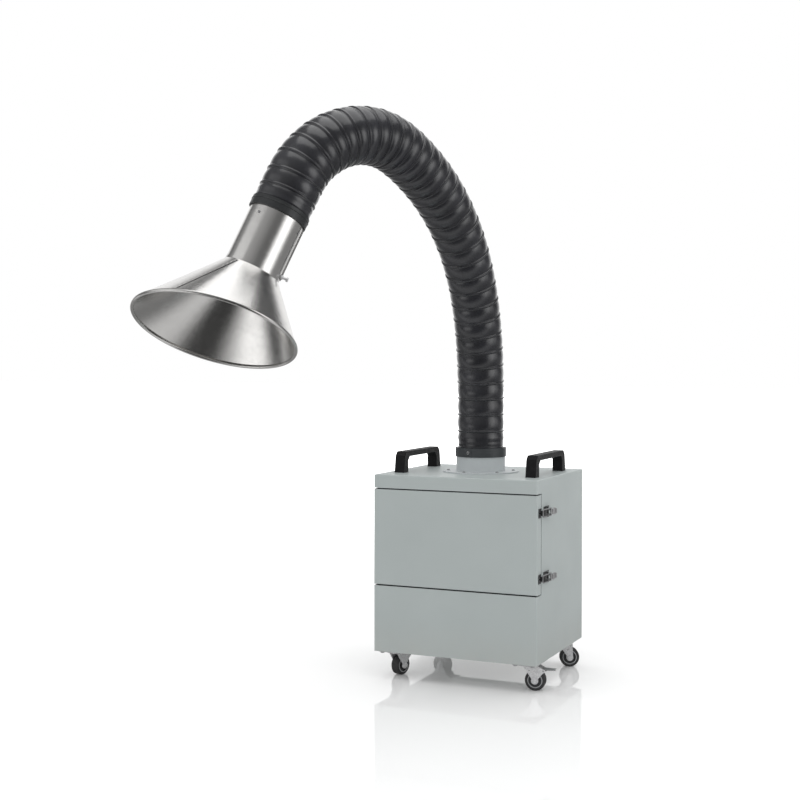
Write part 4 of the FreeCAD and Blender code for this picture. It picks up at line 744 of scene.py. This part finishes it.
def hose_ring(distance, height, slack):
    """One ring of the hose at a height over its skin, with a little slack in the cloth."""
    centre = route_at(distance)
    radius = hose_radius(distance)
    tangent, side = hose_directions(distance)
    face = tangent.cross(side)
    ring = []
    for i in range(HOSE_SIDES):
        turn = math.tau * i / HOSE_SIDES
        out = side * math.cos(turn) + face * math.sin(turn)
        ripple = noise.noise((centre + out * radius) * CLOTH_SLACK_SCALE) * slack
        ring.append(centre + out * (radius + height + ripple))
    return ring


def ribbed_hose():
    """The hose: skin that swells a little between beaded ribs, open from end to end."""
    head_ring = HOSE_LENGTH - HOSE_RING_DEPTH
    stations = [(0.0, RING_SEAT), (HOSE_RING_DEPTH, RING_SEAT)]
    ribs = rib_spots()
    for rib, following in zip(ribs, ribs[1:]):
        outline = [(rib + offset * MM, height) for offset, height in RIB_BEAD]
        gap_start, gap_end = rib + RIB_FOOT * MM, following - RIB_FOOT * MM
        outline += [(gap_start + (gap_end - gap_start) * share, height) for share, height in CLOTH_SWELL]
        for spot, height in outline:
            if stations[-1][0] + CLOSEST_RINGS < spot < head_ring:
                beaded = BEADLESS_END <= spot <= HOSE_LENGTH - BEADLESS_END
                stations.append((spot, (height if beaded else min(height, 0.0)) * MM))
    stations += [(head_ring, RING_SEAT), (HOSE_LENGTH, RING_SEAT)]
    rings = []
    for spot, height in stations:
        loose = TAUT_END < spot < HOSE_LENGTH - TAUT_END
        rings.append(hose_ring(spot, height, CLOTH_SLACK if loose else 0.0))
    for i in range(BORE_STEPS + 1):
        rings.append(hose_ring(HOSE_LENGTH * (1 - i / BORE_STEPS), -HOSE_WALL, 0.0))
    hose = new_piece("ribbed_hose", *skin_rings(rings, True), "arm", "hose_rubber")
    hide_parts("arm_hose")


def cone_point(turn, share):
    """A point on the hood cone's outside, at a turn round the hood and a share from throat to mouth."""
    start = HOOD_SIDE - MOUTH_NORMAL * MOUTH_NORMAL.dot(HOOD_SIDE)
    start.normalize()
    across = MOUTH_NORMAL.cross(start)
    throat = COLLAR_END + round_hood(turn) * (COLLAR_RADIUS + SHEET)
    mouth = MOUTH_CENTRE + (start * math.cos(turn) + across * math.sin(turn)) * MOUTH_RADIUS
    return throat.lerp(mouth, share)


def seam_rows():
    """Left, middle and right of the cone's seam, with the way out of the sheet, from throat to mouth."""
    rows = []
    for i in range(SEAM_STEPS + 1):
        share = SEAM_START + SEAM_REACH * i / SEAM_STEPS
        half = SEAM_WIDTH / 2 / (COLLAR_RADIUS + (MOUTH_RADIUS - COLLAR_RADIUS) * share)
        left, middle, right = (cone_point(SEAM_TURN + side * half, share) for side in (-1, 0, 1))
        along = cone_point(SEAM_TURN, share + SEAM_AHEAD) - middle
        out = along.cross(right - left).normalized()
        if out.dot(middle - COLLAR_END.lerp(MOUTH_CENTRE, share)) < 0:
            out = -out
        rows.append((left, middle, right, out))
    return rows


def cone_seam():
    """Lapped seam down the cone, with its row of spot welds and a dark strip beside it, painted shade of the
    seam's fold.
    """
    sections, welds, lap = [], [], []
    for left, middle, right, out in seam_rows():
        sink, lift, gap = out * SEAM_SINK, out * SEAM_LIFT, out * LAP_LIFT
        sections.append([left - sink, left + lift, middle + lift, right + lift, right - sink])
        welds.append(lathe(SPOT_WELD, middle + lift, out, SPOT_WELD_SIDES))
        # A dark strip beside the lap's edge: painted shade of the seam's fold
        beside = left - (right - left).normalized() * LAP_WIDTH
        lap.append([beside, beside + gap, left + gap, left])
    strip, sides = skin_rings(sections, False)
    count = len(sections[0])
    ends = [tuple(range(count)), tuple(len(strip) - 1 - i for i in range(count))]
    new_piece("cone_seam", strip, sides + ends, "arm", "hood_steel", smooth=False)
    new_piece("seam_welds", *join_parts(welds[1:-1]), "arm", "hood_steel")
    new_piece("seam_shade_strip", *skin_rings(lap, False), "arm", "hood_steel", look="slot_shadow", smooth=False)


def collar_seam():
    """Folded seam that stands along the collar, from the cuff to the cone's lip."""
    out = round_hood(COLLAR_SEAM_TURN)
    across = HOOD_AXIS.cross(out)
    end = SLIP + COLLAR_LENGTH - COLLAR_SEAM_STOP
    length = end - COLLAR_SEAM_START
    foot = HOOD_START + HOOD_AXIS * ((COLLAR_SEAM_START + end) / 2) + out * COLLAR_RADIUS
    flap = block(foot + across * FLAP_SIDEWAYS + out * FLAP_OUT, (FLAP_WIDTH, length, FLAP_THICKNESS),
                 across, HOOD_AXIS, out)
    fold = block(foot + out * FOLD_OUT, (FOLD_WIDTH, length, FOLD_HEIGHT), across, HOOD_AXIS, out)
    seam = new_piece("collar_seam", *join_parts([flap, fold]), "arm", "hood_steel", smooth=False)
    soften(seam, FOLD_EDGE)


def cuff_bead():
    """Raised line round the cuff, near the hose."""
    places = [Vector(v.co) - HOOD_START for v in NODES["hood_cuff"].data.vertices]
    skin = max((place - HOOD_AXIS * place.dot(HOOD_AXIS)).length for place in places)
    start = min(place.dot(HOOD_AXIS) for place in places)
    middle = HOOD_START + HOOD_AXIS * (start + CUFF_BEAD_BACK)
    loops = []
    for i in range(CUFF_BEAD_POINTS):
        turn = math.tau * i / CUFF_BEAD_POINTS
        centre = middle + HOOD_AXIS * (CUFF_BEAD_RADIUS * math.cos(turn))
        radius = skin + CUFF_BEAD_RADIUS * math.sin(turn)
        loops.append(ring_points(centre, HOOD_SIDE, HOOD_FACE, radius, CUFF_BEAD_SIDES))
    new_piece("cuff_bead", *skin_rings(loops, True), "arm", "ring_plastic", look="cuff_nylon")


def hood_fasteners():
    """Blind rivets round the top of the collar."""
    rivets = []
    for turn in COLLAR_RIVET_TURNS:
        out = round_hood(turn)
        place = HOOD_START + HOOD_AXIS * COLLAR_RIVET_BACK + out * COLLAR_RADIUS
        rivets.append(lathe(COLLAR_RIVET, place, out, COLLAR_RIVET_SIDES))
    new_piece("collar_rivets", *join_parts(rivets), "arm", "hood_steel", look="zinc_steel")


# Cabinet

def wheel_rings():
    """Bright rings let into both sides of each wheel's rim."""
    for name in CASTERS:
        low, high = node_box("caster_tread_" + name)
        axle = AXLES["wheel_" + name]
        rings = []
        for out in (-axle, axle):
            first, second = square_to(out)
            face = (low + high) / 2 + out * WHEEL_HALF_WIDTH
            loops = [ring_points(face + out * h, first, second, r, WHEEL_RING_SIDES) for r, h in WHEEL_RING]
            rings.append(skin_rings(loops, True))
        new_piece("wheel_rings_" + name, *join_parts(rings), "wheel_" + name, "hub_plastic", look="hub_ring")


def flange_screws():
    """Screws that hold the duct flange to the top."""
    middle = UP * (node_box("cabinet_shell")[1].z + FLANGE_THICKNESS)
    places = []
    for i in range(FLANGE_SCREW_COUNT):
        turn = FLANGE_SCREW_START + math.tau * i / FLANGE_SCREW_COUNT
        out = RIGHT * math.cos(turn) + BACK * math.sin(turn)
        places.append((middle + out * FLANGE_SCREW_CIRCLE, UP))
    screws("flange_screws", places, FLANGE_SCREW, "cabinet")


def clamp_screw():
    """Screw and lug that pinch the ring at the hose's foot."""
    low, high = node_box("hose_clamp_ring")
    out = RIGHT * math.cos(CLAMP_TURN) + BACK * math.sin(CLAMP_TURN)
    middle = out * (high.x - CLAMP_SINK) + UP * ((low.z + high.z) / 2)
    lug = block(middle + out * CLAMP_LUG_OUT, CLAMP_LUG, UP.cross(out), UP, out)
    piece = new_piece("clamp_lug", *lug, "arm", "ring_plastic", smooth=False)
    soften(piece, CLAMP_LUG_EDGE)
    screws("clamp_screw", [(middle + out * CLAMP_SCREW_OUT, out)], CLAMP_SCREW, "arm")


def rivet_pair(name, place, spread, head, body):
    """Two rivets on the cabinet's right side, one over the other."""
    heads = [pan_head(place + UP * dz, RIGHT, *head) for dz in (-spread, spread)]
    new_piece(name, *join_parts(heads), body, "zinc_steel")


def latch_rivets():
    """Rivets that hold the latch bases and keepers."""
    seat = node_box("cabinet_shell")[1].x + LATCH_SHEET
    for level in LATCHES:
        low, high = node_box("latch_base_" + level)
        middle = (low.z + high.z) / 2
        base = Vector((seat, high.y - BASE_RIVET_IN, middle))
        rivet_pair("latch_rivets_" + level, base, BASE_RIVET_SPREAD, BASE_RIVET, "cabinet")
        keeper = Vector((seat, node_box("latch_keeper_" + level)[0].y + KEEPER_RIVET_IN, middle))
        rivet_pair("keeper_rivets_" + level, keeper, KEEPER_RIVET_SPREAD, KEEPER_RIVET, "door")


def keeper_pad(level):
    """Backing plate under a latch's keeper."""
    wall = node_box("cabinet_shell")[1].x
    low, high = node_box("latch_keeper_" + level)
    size = (KEEPER_PAD_THICKNESS, high.y - low.y + KEEPER_PAD_DEEPER, high.z - low.z + KEEPER_PAD_TALLER)
    place = Vector((wall + KEEPER_PAD_THICKNESS / 2, (low.y + high.y) / 2 - KEEPER_PAD_FORWARD,
                    (low.z + high.z) / 2))
    pad = new_piece("keeper_pad_" + level, *block(place, size), "door", "latch_black", smooth=False)
    soften(pad, KEEPER_PAD_EDGE)


def lever_thumb(level):
    """Thumb plate pressed on a latch's lever, square at its root and round at its tip."""
    low, high = node_box("latch_lever_" + level)
    outline = [(0.0, -THUMB_HALF_ROOT), (0.0, THUMB_HALF_ROOT)]
    for i in range(2 * THUMB_CORNER_STEPS + 1):
        turn = math.pi / 2 * (1 - i / THUMB_CORNER_STEPS)
        side = THUMB_CORNER_SIDE if i <= THUMB_CORNER_STEPS else -THUMB_CORNER_SIDE
        tip = THUMB_LENGTH - THUMB_CORNER + THUMB_CORNER * math.cos(turn)
        outline.append((tip, side + THUMB_CORNER * math.sin(turn)))
    root = Vector((high.x - THUMB_SINK, low.y + THUMB_START, (low.z + high.z) / 2))
    loops = []
    for inset, lift in THUMB_LAYERS:
        loop = []
        for along, across in outline:
            reach = math.copysign(max(abs(across) - inset, 0.0), across)
            loop.append(root + Vector((lift, min(along + inset, THUMB_LENGTH - inset), reach)))
        loops.append(loop)
    body = "latch_arm_" + level
    new_piece("lever_thumb_" + level, *capped_rings(loops), body, "zinc_steel", smooth=False)


def latch_plates():
    """Pads under the keepers, and thumb plates on the levers."""
    for level in LATCHES:
        keeper_pad(level)
        lever_thumb(level)


def seam_shade_foam():
    """Black foam strips that darken the seams round the door as painted shade: on its top edge, the ledge
    below and the frame beside it.
    """
    low, high = node_box("door_panel")
    seal_low, seal_high = node_box("door_gasket")
    strip = (high.x - low.x - FOAM_SHORTER, high.y - low.y - FOAM_SHALLOWER, FOAM_THICKNESS)
    middle = BACK * ((low.y + high.y) / 2)
    half = FOAM_THICKNESS / 2
    # Black strips laid in the seams: painted shade of the door's seams
    top = block(middle + UP * (high.z + half), strip)
    new_piece("door_top_shade_foam", *top, "door", "seal_foam", smooth=False)
    ledge = block(middle + UP * (low.z - DOOR_SEAM + half), strip)
    new_piece("ledge_shade_foam", *ledge, "cabinet", "seal_foam", smooth=False)
    edge = (EDGE_FOAM_WIDTH, FOAM_THICKNESS, seal_high.z - seal_low.z)
    edges = []
    for side in (-1, 1):
        x = side * (high.x - EDGE_FOAM_IN)
        edges.append(block(Vector((x, high.y + DOOR_SEAM - half, (seal_low.z + seal_high.z) / 2)), edge))
    new_piece("frame_edge_shade_foam", *join_parts(edges), "cabinet", "seal_foam", smooth=False)


def caster_bolts():
    """Bolts through the casters' plates."""
    in_x, in_y = PLATE_BOLT_IN
    for name in CASTERS:
        low, high = node_box("caster_plate_" + name)
        heads = []
        for x in (low.x + in_x, high.x - in_x):
            for y in (low.y + in_y, high.y - in_y):
                under = Vector((x, y, high.z - PLATE_THICKNESS))
                heads.append(lathe(PLATE_BOLT, under, -UP, PLATE_BOLT_SIDES))
        new_piece("plate_bolts_" + name, *join_parts(heads), "cabinet", "zinc_steel", smooth=False)


def grille_screws():
    """Screws at the exhaust grille's corners."""
    low, high = node_box("exhaust_grille")
    face = node_box("cabinet_shell")[1].y + GRILLE_THICKNESS
    places = []
    for x in (low.x + GRILLE_SCREW_IN, high.x - GRILLE_SCREW_IN):
        for z in (low.z + GRILLE_SCREW_IN, high.z - GRILLE_SCREW_IN):
            places.append((Vector((x, face, z)), BACK))
    screws("grille_screws", places, GRILLE_SCREW, "cabinet")


def seal_strip():
    """Soft seal on the door's back, with a rounded section."""
    low, high = node_box("door_gasket")
    corners = [(low.x, low.z, 1, 1), (high.x, low.z, -1, 1), (high.x, high.z, -1, -1), (low.x, high.z, 1, -1)]
    rings = []
    for x, z, x_inward, z_inward in corners:
        ring = []
        for across, rise in SEAL_SECTION:
            inset = SEAL_WIDTH * across
            ring.append(Vector((x + x_inward * inset, low.y + (high.y - low.y) * rise, z + z_inward * inset)))
        rings.append(ring)
    strip = new_piece("door_seal", *skin_rings(rings, True), "door", "seal_foam")
    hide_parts("door_gasket")


def mat_rise(u, v):
    """Share of the mat's thickness at a spot on it, drawn in at the edge."""
    inward = min(min(u, 1 - u, v, 1 - v) * MAT_EDGE_STEEPNESS, 1.0)
    return MAT_EDGE_HEIGHT + (1 - MAT_EDGE_HEIGHT) * math.sin(inward * math.pi / 2) ** MAT_EDGE_ROUNDING


def prefilter_mat():
    """Fibre mat on top of the filters, with a drawn-in edge and an uneven crown."""
    low, high = node_box("prefilter")
    size = high - low
    top, bottom = [], []
    for j in range(MAT_ROWS + 1):
        for i in range(MAT_COLUMNS + 1):
            u, v = i / MAT_COLUMNS, j / MAT_ROWS
            x = low.x + MAT_INSET + (size.x - 2 * MAT_INSET) * u
            y = low.y + MAT_INSET + (size.y - 2 * MAT_INSET) * v
            wave = Vector((u * MAT_RIPPLE_SCALE[0], v * MAT_RIPPLE_SCALE[1], MAT_RIPPLE_LAYER))
            ripple = noise.noise(wave) * MAT_RIPPLE
            top.append(Vector((x, y, low.z + size.z * mat_rise(u, v) - MAT_SINK + ripple)))
            bottom.append(Vector((x, y, low.z)))
    width = MAT_COLUMNS + 1
    under = len(top)
    faces = []
    for j in range(MAT_ROWS):
        for i in range(MAT_COLUMNS):
            a = j * width + i
            faces.append((a, a + 1, a + width + 1, a + width))
            faces.append((under + a, under + a + width, under + a + width + 1, under + a + 1))
    border = list(range(width)) + [j * width + MAT_COLUMNS for j in range(1, MAT_ROWS + 1)]
    border += [MAT_ROWS * width + i for i in range(MAT_COLUMNS - 1, -1, -1)]
    border += [j * width for j in range(MAT_ROWS - 1, 0, -1)]
    for a, b in zip(border, border[1:] + border[:1]):
        faces.append((a, under + a, under + b, b))
    mat = new_piece("prefilter_mat", top + bottom, faces, "cabinet", "filter_mat")
    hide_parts("prefilter")


def filter_tabs():
    """Bowed cloth tabs for pulling the filters out."""
    front = node_box("hepa_frame")[0].y
    for name, node in (("carbon", "carbon_filter"), ("main", "hepa_frame")):
        low, high = node_box(node)
        middle = Vector((0, front, (low.z + high.z) / 2))
        tall, thick = UP * TAB_HALF_WIDTH, BACK * TAB_THICKNESS
        rings = []
        for i in range(TAB_STEPS + 1):
            turn = math.pi * i / TAB_STEPS
            place = middle + RIGHT * (TAB_HALF_LENGTH * math.cos(turn)) - BACK * (TAB_BOW * math.sin(turn))
            rings.append([place - tall, place - thick - tall, place - thick + tall, place + tall])
        new_piece("pull_tab_" + name, *capped_rings(rings), "cabinet", "filter_mat", look="seal_foam")


def control_marks():
    """A pointer on the speed dial and ticks round it."""
    low, high = node_box("speed_dial")
    centre = (low + high) / 2
    pointer = block(Vector((centre.x, high.y, centre.z + POINTER_OUT)), POINTER)
    new_piece("dial_pointer", *pointer, "dial", "fitting_plastic", look="white_mark", smooth=False)
    wall = Vector((centre.x, node_box("cabinet_shell")[1].y, centre.z))
    ticks = []
    for i in range(TICK_COUNT):
        turn = TICK_START + TICK_STEP * i
        out = Vector((math.sin(turn), 0, math.cos(turn)))
        ticks.append(block(wall + out * TICK_CIRCLE, TICK, out, BACK, out.cross(BACK)))
    new_piece("dial_ticks", *join_parts(ticks), "cabinet", "cabinet_paint", look="dark_mark", smooth=False)


# Stage

def studio_floor():
    """White floor that brightens into the backdrop; steel mirrors it black, with a pale band and a low card
    glowing on it as painted reflection.
    """
    bpy.ops.mesh.primitive_plane_add(size=FLOOR_SIZE, location=(0, 0, 0))
    floor = bpy.context.object
    floor.name = "studio_floor"
    f = new_finish("studio_floor_white")
    path = f.add("ShaderNodeLightPath")
    spot = f.place()
    away = f.vectors("LENGTH", spot)
    glow = f.spread(away, *FLOOR_NEAR_GLOW) + f.spread(away, *FLOOR_FAR_GLOW)
    depth = f.part(spot, "Y")
    painted_reflection_band = f.spread(depth, *BAND_FRONT) * f.spread(depth, *BAND_BACK)
    from_card = f.vectors("MULTIPLY", f.vectors("SUBTRACT", spot, LOW_CARD), LOW_CARD_SQUEEZE)
    card = f.spread(f.vectors("LENGTH", from_card), *LOW_CARD_FADE)
    # Reflections see the band and card glow and the floor's white drop to black: painted reflection
    glossy = path["Is Glossy Ray"]
    backdrop_glow_and_painted_reflection = path["Is Camera Ray"] * glow + glossy * (painted_reflection_band + card)
    white = f.surface(base_color=(1 - glossy) * FLOOR_WHITE, roughness=FLOOR_ROUGHNESS, ior=FLOOR_IOR,
                      emission_color=backdrop_glow_and_painted_reflection, emission_strength=1.0)
    floor.data.materials.append(white)


def studio_world():
    """White to the camera, plain light on the object, dark with pale cards in reflections."""
    world = bpy.data.worlds.new("studio_world")
    bpy.context.scene.world = world
    w = Finish(world)
    path = w.add("ShaderNodeLightPath")
    way = w.add("ShaderNodeTexCoord")["Generated"]
    backdrop = STUDIO_DARK
    for card, edge, level in REFLECTED_CARDS:
        backdrop = backdrop + w.spread(w.vectors("DOT_PRODUCT", way, card), edge, (0.0, level))
    camera, glossy = path["Is Camera Ray"], path["Is Glossy Ray"].at_least(path["Is Transmission Ray"])
    plain = (1 - camera) * (1 - glossy) * WORLD_LIGHT
    light = w.add("ShaderNodeBackground", {}, {"Color": camera + glossy * backdrop + plain, "Strength": 1.0})
    w.add("ShaderNodeOutputWorld", {}, {"Surface": light["Background"]})


def lamp(name, place, target, size, power):
    """A soft lamp of a width and height, aimed at a point."""
    data = bpy.data.lights.new(name, "AREA")
    data.shape = "RECTANGLE"
    data.size, data.size_y = size
    data.energy = power
    piece = bpy.data.objects.new(name, data)
    bpy.context.scene.collection.objects.link(piece)
    piece.location = place
    piece.rotation_euler = (Vector(target) - Vector(place)).to_track_quat("-Z", "Y").to_euler()


def photo_camera():
    """The camera at the photograph's station."""
    data = bpy.data.cameras.new("photo_camera")
    data.lens = CAMERA_LENS
    data.sensor_width = CAMERA_SENSOR
    data.clip_end = CAMERA_REACH
    camera = bpy.data.objects.new("photo_camera", data)
    bpy.context.scene.collection.objects.link(camera)
    camera.location = CAMERA_PLACE
    camera.rotation_euler = (math.pi / 2 - CAMERA_DIP, 0, CAMERA_HEADING)
    bpy.context.scene.camera = camera


def studio():
    """White floor and world, soft lamps and the camera."""
    studio_floor()
    studio_world()
    for softbox in SOFTBOXES:
        lamp(*softbox)
    photo_camera()
    bpy.context.scene.view_settings.view_transform = "Standard"


def make_looks():
    """Every finish by its slot, and a few of the scene's own."""
    # Bright and dull steel: the two ends of the hood's painted sheen
    steel, sheen_dull_steel = (0.80, 0.79, 0.775), (0.70, 0.69, 0.675)
    return {
        "cabinet_paint": powder_coat("light_grey_powder_coat", (0.392, 0.432, 0.428), (0.375, 0.414, 0.410)),
        "duct_paint": powder_coat("duct_grey_coat", (0.47, 0.50, 0.51), (0.42, 0.45, 0.46)),
        "handle_plastic": black_grain(),
        "hose_rubber": hose_cloth(),
        "ring_plastic": ring_nylon("slate_ring_nylon", (0.030, 0.034, 0.037), (0.050, 0.055, 0.059)),
        "cuff_nylon": ring_nylon("dark_cuff_nylon", (0.016, 0.018, 0.019), (0.026, 0.028, 0.030)),
        "hood_steel": brushed_sheet("brushed_hood_sheet", COLLAR_END, HOOD_AXIS, steel, sheen_dull_steel),
        "zinc_steel": zinc_plate("bright_zinc", (0.50, 0.50, 0.51)),
        "caster_zinc": zinc_plate("bright_caster_zinc", (0.86, 0.86, 0.87), metal=0.45),
        "damper_steel": zinc_plate("mill_sheet", (0.52, 0.52, 0.51)),
        "tread_rubber": tread_rubber(),
        "hub_plastic": moulded("dark_wheel_nylon", (0.060, 0.062, 0.066), (0.4, 0.55)),
        "hub_ring": moulded("pale_rim_ring", (0.42, 0.43, 0.44), (0.35, 0.5)),
        "latch_black": moulded("black_latch_coat", (0.020, 0.021, 0.022), (0.3, 0.45)),
        "seal_foam": foam(),
        "filter_board": board(),
        "filter_paper": pleat_paper(),
        "filter_mat": fibre_mat(),
        "carbon_tray": granules(),
        "inner_steel": zinc_plate("galvanised_sheet", (0.45, 0.46, 0.47)),
        "motor_iron": casting(),
        "fitting_plastic": moulded("black_fitting_plastic", (0.014, 0.014, 0.015), (0.25, 0.36)),
        "slot_shadow": moulded("slot_shadow", (0.02, 0.02, 0.02), (0.6, 0.7)),
        "white_mark": mark_paint("white_print", (0.8, 0.8, 0.8)),
        "dark_mark": mark_paint("dark_print", (0.03, 0.03, 0.03)),
    }


def finish_nodes():
    """Give every CAD node its finish."""
    for row in frame["record"]["subparts"]:
        node = row["node"]
        own = [look for start, look in OWN_LOOKS.items() if node.startswith(start)]
        materials = NODES[node].data.materials
        materials.clear()
        materials.append(LOOKS[own[0] if own else row["material_slot"]])


random.seed(SCREW_TURN_SEED)
LOOKS = make_looks()
finish_nodes()
studio()
ribbed_hose()
cone_seam()
collar_seam()
cuff_bead()
hood_fasteners()
wheel_rings()
flange_screws()
clamp_screw()
latch_rivets()
latch_plates()
seam_shade_foam()
caster_bolts()
grille_screws()
seal_strip()
prefilter_mat()
filter_tabs()
control_marks()
